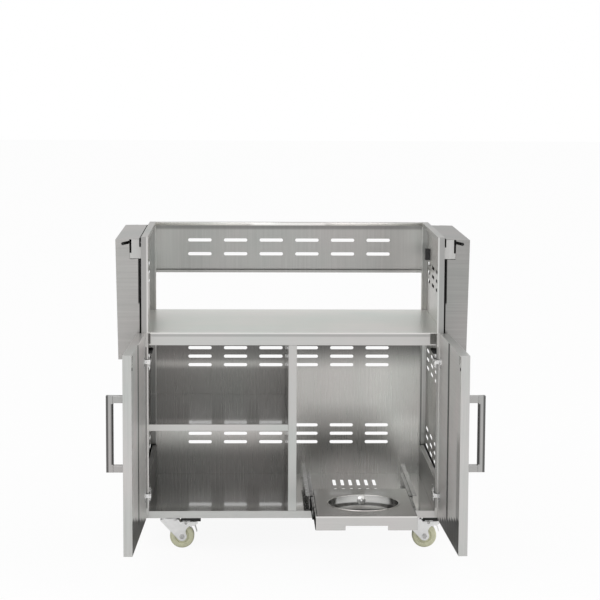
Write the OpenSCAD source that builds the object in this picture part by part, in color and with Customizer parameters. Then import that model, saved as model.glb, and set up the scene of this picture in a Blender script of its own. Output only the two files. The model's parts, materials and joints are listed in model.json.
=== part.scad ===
/* [Cabinet] */
// Outer width over the side panels
cart_w = 914; // [800:1:1100]
// Depth from the front posts to the rear panel
cart_d = 559; // [520:1:640]
// Height from the ground to the top flanges
cart_h = 968; // [930:1:1040]
// Height of the upper face of the deck above the ground
deck_top = 678; // [650:1:710]
// Height of the upper face of the cabinet floor above the ground
floor_top = 128; // [124:1:150]
// Height of the front lip of the floor pan
base_lip = 22; // [20:0.5:30]
// Thickness of the sheet steel
sheet = 1.2; // [0.8:0.1:1.5]
// Width of the front and rear posts of a side panel
post_w = 20; // [18:0.5:24]
// Depth of the folded return behind each post and flange
lip = 12; // [8:0.5:14]
// Gap between sheets that meet
seam = 0.3; // [0.2:0.05:0.4]

/* [Rear rail and deck] */
// Height of the rear top rail
rail_h = 165; // [140:1:200]
// Height of the upturned lip along the bottom of the rear rail
rail_lower_lip = 8; // [5:0.5:12]
// Height of the front flange of the deck
deck_lip = 38.5; // [30:0.5:46]
// Width of the opening beside the left post in the deck flange
deck_window_left = 6.5; // [4:0.5:20]
// Width of the opening beside the right post in the deck flange
deck_window_right = 20; // [4:0.5:24]

/* [Compartments] */
// Width of the divider between the compartments
divider_w = 25.3; // [20:0.1:32]
// Height of the upper face of the middle shelf above the ground
mid_shelf_top = 396.5; // [340:0.5:440]
// Height of the folded edge of the middle shelf
mid_shelf_lip = 20; // [14:0.5:26]
// Height of the skirt that runs along the floor at each side wall
skirt_h = 97; // [80:1:104]

/* [Vent slots] */
// Length of a vent slot
slot_l = 77; // [60:1:90]
// Width of a vent slot
slot_w = 10.5; // [6:0.5:14]
// Distance between the centres of two slots in a row
slot_pitch = 117.3; // [100:0.1:125]
// Distance between the centres of two slots in a row of a side panel
side_slot_pitch = 137; // [100:1:140]
// Distance between two rows of slots in a group
slot_rise = 28.4; // [22:0.1:32]
// Number of slots in a row of the rear rail and the rear panel
rear_cols = 6; // [4:1:6]
// Number of slots in a row of a side panel
side_cols = 4; // [2:1:4]
// Distance between the two rows of slots in the rear rail
rail_rise = 45.4; // [30:0.1:60]
// Depth of the upper row of rail slots below the top
rail_row_drop = 60; // [45:0.5:80]
// Depth of the middle row of the upper side slots below the top
side_row_drop = 158; // [120:1:200]
// Depth of the middle row of the cupboard slots below the deck
bay_row_drop = 156; // [130:1:180]
// Height of the middle row of the low slots above the cabinet floor
low_row_rise = 134.6; // [130:0.1:160]
// Length of a slot in the cabinet floor
floor_slot_l = 90; // [70:1:96]
// Distance between the slots across the cabinet floor
floor_slot_pitch = 26; // [20:0.5:30]
// Distance between the rows of slots along the cabinet floor
floor_row_pitch = 132; // [120:1:140]
// Distance of the middle of the rear row of floor slots from the back of the floor
floor_row_from_back = 147; // [100:1:160]

/* [Doors] */
// Thickness of a door
door_t = 25.5; // [22:0.5:30]
// Gap between the two closed doors
door_meeting = 3; // [2:0.5:5]
// Distance of the hinge edge of a door from the outside of its side panel
door_reveal = 2.5; // [1:0.5:4]
// Gap between a closed door and the posts
door_gap = 2; // [1.8:0.1:3]
// Length of the door below the base lip
door_drop = 4.5; // [2:0.5:8]
// Gap between the top of a door and the top of the deck
door_top_gap = 1.5; // [1:0.5:4]
// Angle of an open door
door_open = 92; // [88:0.5:95]
// Distance of the hinge axis from the hinge edge of the door
hinge_inset = 4; // [3.8:0.1:5]
// Depth of the hinge axis below the inner face of the door
hinge_depth = 4.5; // [4:0.1:5]
// Distance of the upper hinge from the top of the door
hinge_top = 87; // [80:1:110]
// Distance of the lower hinge from the bottom of the door
hinge_bottom = 75; // [60:1:80]
// Radius of a hinge cup
cup_r = 17.3; // [16:0.1:18]
// Depth of a hinge cup
cup_depth = 12; // [11:0.5:14]
// Length of a door handle
handle_l = 219; // [160:1:260]
// Thickness of the square bar of a handle
handle_bar = 20; // [14:0.5:24]
// Distance of the outside of a handle from its door
handle_reach = 50; // [40:1:60]
// Height of the middle of a handle above the ground
handle_z = 447.5; // [380:0.5:500]
// Distance of the middle of a handle from the free edge of its door
handle_inset = 38; // [25:1:70]

/* [Tank tray] */
// Distance of the middle of the tray from the middle of the cart
tray_x = 212; // [205:1:230]
// Width of the body of the tray
tray_w = 288; // [270:1:300]
// Depth of the tray
tray_d = 374; // [330:1:400]
// Overhang of the tray front beyond each side of its body
tray_front_over = 5; // [3:0.5:10]
// Height of the upper face of the tray above the cabinet floor
tray_rise = 47; // [46:0.5:52]
// Height of the front flange of the tray
tray_lip = 42; // [36:0.5:44]
// Distance that the tray is pulled out
tray_travel = 278; // [240:1:300]
// Gap between the pushed-in tray and the front plane of the cabinet
tray_setback = 4; // [2:0.5:10]
// Width of the finger notch in the tray front
notch_w = 124; // [90:1:160]
// Height of the finger notch in the tray front
notch_h = 13.5; // [10:0.5:18]
// Inner radius of the ring that holds the foot of the tank
ring_r = 107.5; // [104:0.5:112]
// Distance of the middle of the ring from the front of the tray
ring_from_front = 177; // [160:1:190]
// Depth of the ring below the tray
ring_depth = 28; // [24:0.5:32]
// Width of the ledge that carries the tank
ring_ledge = 18; // [12:0.5:24]
// Radius of the tank screw
tank_screw_r = 5; // [4:0.5:6]

/* [Tray slides] */
// Length of the three members of a slide
slide_l = 350; // [320:1:380]
// Height of the outer member of a slide
slide_h = 43; // [42:0.5:44]
// Thickness of a slide from its bracket to the tray
slide_t = 12.7; // [12:0.1:14]
// Length of the bracket that carries a slide
slide_bracket_l = 476; // [440:1:500]
// Width of the top and the foot of a slide bracket
slide_bracket_w = 13; // [10:0.5:20]

/* [Fold-down shelves] */
// Length of a side shelf along the cart
side_shelf_l = 523; // [480:1:540]
// Width of a side shelf
side_shelf_w = 365; // [300:1:380]
// Depth of the folded edges of a side shelf
side_shelf_t = 71; // [64:1:76]
// Distance of the shelf pins from the side panel
pin_out = 56; // [54:0.5:64]
// Distance of the shelf pins from the upper face of a raised shelf
pin_drop = 22; // [20:0.5:24]
// Distance of the shelf pins from the hinge edge of the shelf
pin_edge = 13; // [12:0.5:15]
// Radius of a shelf pin
pin_r = 4; // [3:0.5:4.5]
// Length of the slot for a shelf pin
shelf_slot_l = 25; // [20:0.5:28]
// Thickness of a shelf bracket
bracket_t = 2.5; // [2:0.5:3]

/* [Casters] */
// Radius of a wheel
wheel_r = 37.5; // [36:0.5:38]
// Width of a wheel
wheel_w = 30; // [26:1:32]
// Distance of the wheel axle from the swivel axis
trail = 36.5; // [34:0.5:40]
// Distance of the swivel axis from the outside of the side panel
caster_from_side = 82.5; // [76:0.5:100]
// Distance of the swivel axis from the front and the rear of the cart
caster_from_end = 66; // [58:1:80]
// Radius of a wheel axle
axle_r = 4.95; // [4:0.05:5]
// Distance of the end of a brake pedal from the wheel axle
pedal_reach = 57.5; // [50:0.5:60]

/* [Hidden] */
$fn = 48;

STEEL = "#c4c4c0";
DARK_STEEL = "#9b9b98";
ZINC = "#cdd3d4";
RUBBER = "#222222";
TREAD = "#b9bd9a";

// The cabinet front plane is at Y = 0, the ground at Z = 0 and the middle at X = 0
half_w = cart_w / 2;
base_z = floor_top - base_lip;
side_d = cart_d - sheet - seam;
inner_x = half_w - sheet - seam;
post_x = half_w - post_w;
between_posts = post_x - seam;
back_y = side_d - seam;
corner_cut = lip + seam;
head_h = 2;
head_r = 4.5;
rail_screw_inset = 28;
panel_low_inset = 70;
panel_top_inset = 60;
clip_size = [15, 26, 36];
clip_hose_r = 5;
clip_drop = 97;
clip_from_rear = 91;

// Doors, modelled closed and turned to their open place
door_edge = half_w - door_reveal;
door_free = door_meeting / 2;
door_bottom = base_z - door_drop;
door_top = deck_top - door_top_gap;
hinge_x = door_edge - hinge_inset;
hinge_y = -door_gap - hinge_depth;
hinge_heights = [door_bottom + hinge_bottom, door_top - hinge_top];
cup_wall = 1;
cup_clear = 0.3;
cup_x = door_edge - sheet - cup_r - 4;
knuckle_r = 2.5;
knuckle_pin_r = 1.5;
knuckle_clear = 0.05;
knuckle_gap = 0.4;
ear_t = 2.2;
knuckle_h = 6;
throat_h = knuckle_h + ear_t + 1;
hinge_arm_t = 4;
skirt_x = between_posts - 0.7;
liner_fold = 12;
ear_back = 3;
ear_front = 0.8;
ear_reach = 6;
handle_round = 1.5;
striker = [24, 26, 1.2];
striker_inset = 7;
striker_drop = 4;
bumper_r = 5;
bumper_h = 1.4;
bumper_inset = 9;
bumper_low = 10;
bumper_drop = 40;
magnet_h = 27;

// Hinge arms on the side walls and dampers above the upper ones
arm_bar_t = 3;
arm_h2 = 7;
arm_base_h2 = 21;
arm_base_start = 6;
arm_base_l = 44;
damper_rise = 28;
damper_inset = 7;
damper_r = 5.5;
damper_l = 62;
damper_rod_r = 2.5;
damper_foot_l = 46;
damper_foot_h2 = 5;

// Lowest and highest Y of the cart put its middle at Y = 0
function door_y(x, y) = hinge_y + (x - hinge_x) * sin(door_open) + (y - hinge_y) * cos(door_open);
door_reach = -min(door_y(door_free, -door_gap), door_y(door_free, -door_gap - door_t));
front_y = (door_reach - cart_d - head_h) / 2;

// Tray, modelled pulled out
tray_top = floor_top + tray_rise;
tray_front = tray_setback - tray_travel;
tray_x0 = tray_x - tray_w / 2;
tray_x1 = tray_x + tray_w / 2;
tray_flange = 30;
ring_y = tray_front + ring_from_front;
ring_wall = 1.2;
ring_rim = 8;
screw_drop = 16;
screw_clear = 0.05;
boss_l = 7;
boss_wall = 3;
knob_r = 12.5;
knob_h = 10;
knob_gap = 3;
knob_lobes = 6;
tray_nose = 4;
slide_lift = 1;
slide_z = floor_top + slide_lift + slide_h / 2;
slide_front = tray_setback + 8;
bracket_back = slide_front + slide_bracket_l;
bracket_drop = 2;
bracket_holes = [165, 295];
bracket_hole_r = 2.5;
bracket_hole_inset = 4;
member_t = 1.2;
member_gap = 0.3;
outer_reach = slide_t - 2.5;
middle_web = 4.5;
middle_start = 2;
inner_start = 6.5;
middle_h = slide_h - 2 * member_t - 2 * member_gap;
inner_h = middle_h - 2 * member_t - 2 * member_gap;

// Fold-down shelves, modelled hanging
pin_x = half_w + pin_out;
pin_z = cart_h - pin_drop;
shelf_out = pin_drop;
shelf_in = pin_drop - side_shelf_t;
shelf_low = pin_edge - side_shelf_w;
shelf_front = (side_d - side_shelf_l) / 2;
shelf_rest_gap = 0.3;
shelf_tilt = asin((pin_out + shelf_in - shelf_rest_gap) / -shelf_low);
bracket_gap = 0.8;
bracket_y = shelf_front + sheet + bracket_gap;
plate_in = 2.5;
plate_out = 30;
plate_low = 45;
arm_h = 17;
finger_r = 9;
stiffener_place = 0.52;
stiffener_depth = 20;
stiffener_half = 22;
foot_l = 28;
foot_h = 36;
notch_u = plate_out - pin_out + 1;
cover_u = notch_u + 5;
slot_clear = 0.35;
pin_proud = 1;
slot_slope = 0.2;

// Casters, with the swivel axis at the origin
swivel_x = half_w - caster_from_side;
swivel_ys = [caster_from_end, cart_d - caster_from_end];
plate_t = 2.5;
plate_size = [96, 72];
plate_z = base_z;
plate_round = 8;
bolt_x = 37;
bolt_y = 25;
bolt_r = 4;
bolt_hole_r = bolt_r + 0.2;
bolt_head_r = 6.5;
bolt_head_h = 4;
bolt_nut_h = 5;
bolt_l = 9;
race_r = 25;
race_gap = 0.5;
race_h = 10;
crown_top = base_z - race_h - race_gap;
crown_h = 8;
crown_bottom = crown_top - crown_h;
crown_plate_t = 3;
kingpin_r = 6;
kingpin_clear = 0.05;
washer_t = 3.5;
leg_t = 2.5;
leg_gap = 2;
leg_y = wheel_w / 2 + leg_gap;
leg_top = crown_bottom + crown_plate_t;
leg_back = race_r + 5;
leg_step = crown_bottom - 4.5;
boss_r = 14.5;
axle_clear = 0.05;
axle_end = 7;
nut_r = 8;
nut_h = 4.5;
nut_gap = 0.2;
pedal_x = trail + 12;
pedal_z = crown_bottom - 7.5;
pedal_pin_r = 3;
pedal_pin_head = [4.8, 2];
pedal_plate_z = crown_bottom - 3;
pedal_plate_t = 2.5;
pedal_w2 = 13;
pad_w = 28;
pad_low = crown_bottom - 4.1;
pad_h = 10.5;
shoe = [20.5, 29.5];
shoe_w = 18;
shoe_gap = 1;
tail_w = 22;
tail_top = 33;
tail_low = [44, 12.5];
tail_t = 2.5;
rail_w = 104;
rail_t = 1.5;
hub_r = 13;
hub_h = 1.5;
web_inset = 4;
tread_h = 8;
tread_round = 3;

module at_cabinet() {
    translate([0, front_y, 0]) children();
}

module block(x, y, z) {
    translate([x[0], y[0], z[0]]) cube([x[1] - x[0], y[1] - y[0], z[1] - z[0]]);
}

module stadium(length, width) {
    square([length - width, width], center = true);
    for (s = [-1, 1]) translate([s * (length - width) / 2, 0]) circle(d = width);
}

module rounded(x, y, r) {
    square([x - 2 * r, y], center = true);
    square([x, y - 2 * r], center = true);
    for (sx = [-1, 1], sy = [-1, 1]) translate([sx * (x / 2 - r), sy * (y / 2 - r)]) circle(r);
}

// Centres of a centred row of holes
function row(count, pitch) = [for (i = [0 : count - 1]) (i - (count - 1) / 2) * pitch];

// A cut through the rear sheets, one slot for each column and row
module rear_slots(rows) {
    for (x = row(rear_cols, slot_pitch), z = rows)
        translate([x, cart_d + 1, z]) rotate([90, 0, 0])
            linear_extrude(sheet + 2) stadium(slot_l, slot_w);
}

module side_slots(rows) {
    for (y = row(side_cols, side_slot_pitch), z = rows)
        translate([half_w - sheet - 1, side_d / 2 + y, z]) rotate([90, 0, 90])
            linear_extrude(sheet + 2) stadium(slot_l, slot_w);
}

function group(middle) = [for (i = [-1 : 1]) middle + i * slot_rise];

bay_rows = group(deck_top - bay_row_drop);
low_rows = group(floor_top + low_row_rise);
side_rows = group(cart_h - side_row_drop);

// A side panel: one sheet with posts, a top flange and folded returns
module side_panel() {
    color(STEEL) at_cabinet() difference() {
        union() {
            block([half_w - sheet, half_w], [0, side_d], [base_z, cart_h]);
            block([post_x, half_w], [0, sheet], [base_z, cart_h]);
            block([post_x, half_w], [side_d - sheet, side_d], [base_z, cart_h]);
            block([post_x, half_w], [0, side_d], [cart_h - sheet, cart_h]);
            block([post_x, post_x + sheet], [0, lip], [base_z, cart_h]);
            block([post_x, post_x + sheet], [side_d - lip, side_d], [base_z, cart_h]);
            block([post_x, post_x + sheet], [0, side_d], [cart_h - lip, cart_h]);
        }
        side_slots(concat(side_rows, bay_rows, low_rows));
    }
}

module side_panel_left() { mirror([1, 0, 0]) side_panel(); }
module side_panel_right() { side_panel(); }

// The rear top rail: a channel on the rear posts, its flanges between them
module rear_rail() {
    rail_low = cart_h - rail_h;
    edge = between_posts;
    color(STEEL) at_cabinet() difference() {
        union() {
            block([-half_w, half_w], [cart_d - sheet, cart_d], [rail_low, cart_h]);
            block([-edge, edge], [cart_d - post_w, cart_d], [cart_h - sheet, cart_h]);
            block([-edge, edge], [cart_d - post_w, cart_d - post_w + sheet], [cart_h - lip - 1, cart_h]);
            block([-edge, edge], [cart_d - post_w, cart_d], [rail_low, rail_low + sheet]);
            block([-edge, edge], [cart_d - post_w, cart_d - post_w + sheet],
                  [rail_low, rail_low + rail_lower_lip]);
        }
        rear_slots([cart_h - rail_row_drop, cart_h - rail_row_drop - rail_rise]);
    }
}

module rear_panel() {
    color(STEEL) at_cabinet() difference() {
        block([-half_w, half_w], [cart_d - sheet, cart_d], [base_z, deck_top]);
        rear_slots(concat(bay_rows, low_rows));
    }
}

// Cuts that let a pan pass the folded returns of the four posts
module post_cuts(low, high) {
    for (s = [-1, 1], y = [[-1, corner_cut], [side_d - corner_cut, cart_d]])
        block([s > 0 ? between_posts : -half_w, s > 0 ? half_w : -between_posts], y, [low, high]);
}

// The deck between the grill bay and the cupboards
module deck() {
    low = deck_top - deck_lip;
    window_low = low + 4;
    window_high = deck_top - sheet - 1;
    color(STEEL) at_cabinet() difference() {
        union() {
            block([-inner_x, inner_x], [0, back_y], [deck_top - sheet, deck_top]);
            block([-between_posts, between_posts], [0, sheet], [low, deck_top]);
            block([-between_posts, between_posts], [0, lip], [low, low + sheet]);
            block([-between_posts, between_posts], [back_y - sheet, back_y], [low, deck_top]);
            for (s = [-1, 1])
                block([s > 0 ? inner_x - sheet : -inner_x, s > 0 ? inner_x : sheet - inner_x],
                      [0, back_y], [deck_top - mid_shelf_lip, deck_top]);
        }
        post_cuts(low - 1, deck_top + 1);
        for (x = [[-between_posts - 1, deck_window_left - between_posts],
                  [between_posts - deck_window_right, between_posts + 1]])
            block(x, [-1, sheet + 1], [window_low, window_high]);
    }
}

module floor_pan() {
    color(STEEL) at_cabinet() difference() {
        union() {
            block([-inner_x, inner_x], [0, back_y], [floor_top - sheet, floor_top]);
            block([-between_posts, between_posts], [0, sheet], [base_z, floor_top]);
            block([-between_posts, between_posts], [back_y - sheet, back_y], [base_z, floor_top]);
            for (s = [-1, 1])
                block([s > 0 ? inner_x - sheet : -inner_x, s > 0 ? inner_x : sheet - inner_x],
                      [0, back_y], [base_z, floor_top]);
        }
        post_cuts(base_z - 1, floor_top + 1);
        for (x = row(6, floor_slot_pitch), i = [0 : 2])
            translate([tray_x + x, back_y - floor_row_from_back - i * floor_row_pitch, floor_top - sheet - 1])
                rotate([0, 0, 90]) linear_extrude(sheet + 2) stadium(floor_slot_l, slot_w);
    }
}

// The divider: a web with a front face, a rear flange and a foot
module divider() {
    x0 = -divider_w / 2;
    x1 = divider_w / 2;
    low = floor_top + seam;
    high = deck_top - sheet - seam;
    under_lip = deck_top - deck_lip - seam;
    rear = back_y - sheet - seam;
    color(STEEL) at_cabinet() union() {
        block([x0, x0 + sheet], [0, rear], [low, under_lip]);
        block([x0, x0 + sheet], [lip + seam, rear], [low, high]);
        block([x0, x1], [0, sheet], [low, under_lip]);
        block([x1 - sheet, x1], [0, lip], [low, under_lip]);
        block([x0, x1], [rear - sheet, rear], [low, high]);
        block([x0, x1], [0, rear], [low, low + sheet]);
    }
}

module middle_shelf() {
    x0 = -inner_x;
    x1 = -divider_w / 2 - seam;
    low = mid_shelf_top - mid_shelf_lip;
    color(STEEL) at_cabinet() difference() {
        union() {
            block([x0, x1], [0, back_y], [mid_shelf_top - sheet, mid_shelf_top]);
            block([-between_posts, x1], [0, sheet], [low, mid_shelf_top]);
            block([-between_posts, x1], [0, lip], [low, low + sheet]);
            block([-between_posts, x1], [back_y - sheet, back_y], [low, mid_shelf_top]);
            block([x0, x0 + sheet], [0, back_y], [low, mid_shelf_top]);
            block([x1 - sheet, x1], [0, back_y], [low, mid_shelf_top]);
        }
        post_cuts(low - 1, mid_shelf_top + 1);
    }
}

// The skirts stand on the floor along the side walls
module wall_skirts() {
    face = skirt_x;
    top_w = post_w - 5;
    low = floor_top + seam;
    high = floor_top + skirt_h;
    y = [corner_cut + 1, side_d - corner_cut - 1];
    color(STEEL) at_cabinet() for (s = [0, 1]) mirror([s, 0, 0]) union() {
        block([face, face + sheet], y, [low, high]);
        block([face, face + top_w], y, [high - sheet, high]);
        block([face, face + top_w], y, [low, low + sheet]);
    }
}

module screw_head(r, h) {
    cylinder(r1 = r, r2 = r * 0.7, h = h);
}

// The screws of the rear rail and the rear panel, with their shanks
module rear_screws() {
    post_mid = half_w - post_w / 2;
    rail_z = [cart_h - rail_screw_inset, cart_h - rail_h + rail_screw_inset];
    panel_z = [base_z + panel_low_inset, mid_shelf_top - mid_shelf_lip / 2, deck_top - panel_top_inset];
    places = concat(
        [for (s = [-1, 1], z = concat(rail_z, panel_z)) [s * post_mid, z]],
        [for (x = row(3, half_w * 0.6), z = [floor_top - base_lip / 2, deck_top - deck_lip / 2]) [x, z]]);
    color(DARK_STEEL) at_cabinet() for (p = places) translate([p[0], cart_d, p[1]]) rotate([-90, 0, 0])
        screw_head(head_r, head_h);
}

// The clip for the hose on the right wall of the grill bay
module hose_clip() {
    y = cart_d - clip_from_rear - clip_size[1] / 2;
    z = cart_h - clip_drop - clip_size[2] / 2;
    color(RUBBER) at_cabinet() translate([inner_x - clip_size[0], y, z]) difference() {
        cube(clip_size);
        translate([clip_hose_r + 1.3, clip_size[1] / 2, -1]) cylinder(r = clip_hose_r, h = clip_size[2] + 2);
    }
}

// The channels under the floor that carry the casters
module caster_rails() {
    low = plate_z + plate_t;
    high = floor_top - sheet - seam;
    w = rail_w / 2;
    t = rail_t;
    y = [corner_cut, side_d - corner_cut];
    color(DARK_STEEL) at_cabinet() for (s = [-1, 1]) translate([s * swivel_x, 0, 0]) difference() {
        union() {
            block([-w, w], y, [low, low + t]);
            for (e = [-1, 1]) {
                block([e > 0 ? w - t : -w, e > 0 ? w : t - w], y, [low, high]);
                block([e > 0 ? w - t : -w - lip, e > 0 ? w + lip : t - w], y, [high - t, high]);
            }
        }
        for (cy = swivel_ys, x = [-bolt_x, bolt_x], dy = [-bolt_y, bolt_y])
            translate([x, cy + dy, low - 1]) cylinder(r = bolt_hole_r, h = t + 2);
    }
}

module at_casters() {
    at_cabinet() for (s = [-1, 1], y = swivel_ys) translate([s * swivel_x, y, 0]) children();
}

module caster_plates() {
    pin_low = crown_bottom - race_gap - washer_t;
    color(ZINC) at_casters() difference() {
        union() {
            translate([0, 0, plate_z]) linear_extrude(plate_t)
                rounded(plate_size[0], plate_size[1], plate_round);
            translate([0, 0, plate_z - race_h]) cylinder(r = race_r, h = race_h);
            translate([0, 0, pin_low]) cylinder(r = kingpin_r, h = plate_z - pin_low);
            translate([0, 0, pin_low]) cylinder(r = kingpin_r + 3, h = washer_t);
        }
        for (x = [-bolt_x, bolt_x], y = [-bolt_y, bolt_y])
            translate([x, y, plate_z - 1]) cylinder(r = bolt_hole_r, h = plate_t + 2);
    }
}

module caster_bolts() {
    color(DARK_STEEL) at_casters() for (x = [-bolt_x, bolt_x], y = [-bolt_y, bolt_y])
        translate([x, y, plate_z]) union() {
            translate([0, 0, -bolt_head_h]) cylinder(r = bolt_head_r, h = bolt_head_h, $fn = 6);
            cylinder(r = bolt_r, h = plate_t + bolt_l);
            translate([0, 0, plate_t + rail_t]) cylinder(r = bolt_head_r, h = bolt_nut_h, $fn = 6);
        }
}

// The outline of a fork leg, seen from the front: hollowed beside the wheel under its long upper corner
module leg_outline() {
    translate([trail, wheel_r]) circle(boss_r);
    difference() {
        polygon([
            [-leg_back, leg_top], [-leg_back, leg_top - 4], [trail - 11, wheel_r - 9.5],
            [trail + boss_r, wheel_r], [trail + boss_r, wheel_r + 14], [trail + 30.5, wheel_r + 30],
            [trail + 48.5, wheel_r + 40],
            [trail + 48.5, leg_step], [trail - 6, leg_step], [trail - 10, leg_top]
        ]);
        translate([trail + 30.5, wheel_r + 14]) circle(19.3);
    }
}

module fork(braked) {
    color(ZINC) difference() {
        union() {
            for (s = [0, 1]) mirror([0, s, 0])
                translate([0, leg_y + leg_t, 0]) rotate([90, 0, 0]) linear_extrude(leg_t) leg_outline();
            block([-leg_back, trail - 10], [-leg_y - leg_t, leg_y + leg_t], [crown_bottom, leg_top]);
            translate([0, 0, crown_bottom]) cylinder(r = race_r + 3, h = crown_h);
        }
        translate([0, 0, crown_bottom - 1]) cylinder(r = kingpin_r + kingpin_clear, h = 20);
        translate([trail, 40, wheel_r]) rotate([90, 0, 0]) cylinder(r = axle_r + axle_clear, h = 80);
        if (braked)
            translate([pedal_x, 40, pedal_z]) rotate([90, 0, 0])
                cylinder(r = pedal_pin_r + axle_clear, h = 80);
    }
}

// A wheel turned about its axle, with a rounded tread and a raised hub
module wheel() {
    w = wheel_w / 2;
    web = w - web_inset;
    rim = wheel_r - tread_h;
    round = tread_round;
    bore = axle_r + axle_clear;
    color(TREAD) translate([trail, 0, wheel_r]) rotate([90, 0, 0]) rotate_extrude($fn = 96) difference() {
        union() {
            translate([bore, -w - hub_h]) square([hub_r - bore, 2 * (w + hub_h)]);
            translate([bore, -web]) square([rim + round - bore, 2 * web]);
            translate([rim, -w]) square([wheel_r - round - rim, 2 * w]);
            translate([rim, round - w]) square([wheel_r - rim, 2 * (w - round)]);
            for (s = [-1, 1]) translate([wheel_r - round, s * (w - round)]) circle(round);
        }
        translate([-10, -w - 5]) square([10 + bore, 2 * w + 10]);
    }
}

module axle() {
    end = leg_y + leg_t;
    color(DARK_STEEL) translate([trail, 0, wheel_r]) rotate([90, 0, 0]) union() {
        translate([0, 0, -end - axle_end]) cylinder(r = axle_r, h = 2 * end + axle_end + nut_gap + 1);
        translate([0, 0, end + nut_gap]) cylinder(r = nut_r, h = nut_h, $fn = 6);
        translate([0, 0, -end - nut_gap - nut_h]) cylinder(r = nut_r, h = nut_h, $fn = 6);
    }
}

// A brake pedal: a lever over the wheel with its shoe on the tread, under a pad
module brake_pedal() {
    z = pedal_plate_z;
    start = trail - 3.5;
    end = trail + pedal_reach - 1;
    ends = [for (x = shoe) wheel_r + sqrt(pow(wheel_r, 2) - pow(x, 2)) + shoe_gap];
    color(ZINC) difference() {
        union() {
            block([start, end], [-pedal_w2, pedal_w2], [z, z + pedal_plate_t]);
            for (s = [0, 1]) mirror([0, s, 0]) translate([0, wheel_w / 2, 0]) rotate([90, 0, 0])
                linear_extrude(2)
                    polygon([[start + 4, z + 1], [pedal_x + 14, z + 1], [pedal_x + 6, pedal_z - 3.6],
                             [pedal_x - 6, pedal_z - 3.6]]);
            translate([trail, tail_w / 2, 0]) rotate([90, 0, 0]) linear_extrude(tail_w)
                polygon([[tail_top, z + 1], [tail_top + tail_t, z + 1],
                         [tail_low[0] + tail_t, wheel_r + tail_low[1]],
                         [tail_low[0], wheel_r + tail_low[1]]]);
            translate([trail, shoe_w / 2, 0]) rotate([90, 0, 0]) linear_extrude(shoe_w)
                polygon([[shoe[0], z + 1], [shoe[0], ends[0]], [shoe[1], ends[1]], [shoe[1], z + 1]]);
        }
        translate([pedal_x, 40, pedal_z]) rotate([90, 0, 0]) cylinder(r = pedal_pin_r + axle_clear, h = 80);
    }
    color(RUBBER) translate([(start + end) / 2 + 1, 0, pad_low]) linear_extrude(pad_h)
        rounded(end - start, pad_w, 3);
}

module pedal_pin() {
    end = leg_y + leg_t;
    color(DARK_STEEL) translate([pedal_x, 0, pedal_z]) rotate([90, 0, 0]) union() {
        translate([0, 0, -end - 1]) cylinder(r = pedal_pin_r, h = 2 * end + 2);
        for (s = [-1, 1]) translate([0, 0, s * (end + pedal_pin_head[1] / 2 + nut_gap)])
            cylinder(r = pedal_pin_head[0], h = pedal_pin_head[1], center = true);
    }
}

// Puts a part of a caster at one corner of the cart
module corner(side, end) {
    at_cabinet() translate([side * swivel_x, swivel_ys[end], 0]) children();
}

module fork_front_left() { corner(-1, 0) fork(true); }
module fork_front_right() { corner(1, 0) fork(true); }
module fork_rear_left() { corner(-1, 1) fork(false); }
module fork_rear_right() { corner(1, 1) fork(false); }
module wheel_front_left() { corner(-1, 0) wheel(); }
module wheel_front_right() { corner(1, 0) wheel(); }
module wheel_rear_left() { corner(-1, 1) wheel(); }
module wheel_rear_right() { corner(1, 1) wheel(); }
module axle_front_left() { corner(-1, 0) axle(); }
module axle_front_right() { corner(1, 0) axle(); }
module axle_rear_left() { corner(-1, 1) axle(); }
module axle_rear_right() { corner(1, 1) axle(); }
module brake_pedal_left() { corner(-1, 0) brake_pedal(); }
module brake_pedal_right() { corner(1, 0) brake_pedal(); }
module pedal_pin_left() { corner(-1, 0) pedal_pin(); }
module pedal_pin_right() { corner(1, 0) pedal_pin(); }

// Puts a part of a slide at both sides of the tray: x grows from the bracket to the tray
module at_slides() {
    at_cabinet() for (s = [0, 1])
        translate([s ? tray_x1 + slide_t : tray_x0 - slide_t, 0, 0]) mirror([s, 0, 0]) children();
}

module slide_brackets() {
    w = slide_bracket_w;
    y = [slide_front, bracket_back];
    top = tray_top - bracket_drop;
    color(STEEL) at_slides() translate([-seam, 0, 0]) difference() {
        union() {
            block([-sheet, 0], y, [floor_top + seam, top]);
            block([-w, 0], y, [top - sheet, top]);
            block([-w, 0], y, [floor_top + seam, floor_top + seam + sheet]);
        }
        for (y = bracket_holes)
            translate([bracket_hole_inset - w, slide_front + y, top - sheet - 1])
                cylinder(r = bracket_hole_r, h = sheet + 2);
    }
}

// A slide member is a channel: a web with two flanges, run along Y
module member(web_x, flange_x, h, y) {
    z = h / 2;
    t = member_t;
    color(ZINC) at_slides() translate([0, 0, slide_z]) union() {
        block([web_x, web_x + t], y, [-z, z]);
        for (s = [-1, 1]) block(flange_x, y, [s > 0 ? z - t : -z, s > 0 ? z : t - z]);
    }
}

module slide_outer_members() {
    member(0, [0, outer_reach], slide_h, [slide_front, slide_front + slide_l]);
}

module slide_middle_members() {
    front = slide_front - tray_travel / 2;
    member(middle_web, [middle_start, slide_t - middle_start], middle_h, [front, front + slide_l]);
}

module slide_inner_members() {
    front = slide_front - tray_travel;
    member(slide_t - seam - member_t, [inner_start, slide_t - seam], inner_h, [front, front + slide_l]);
}

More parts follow.
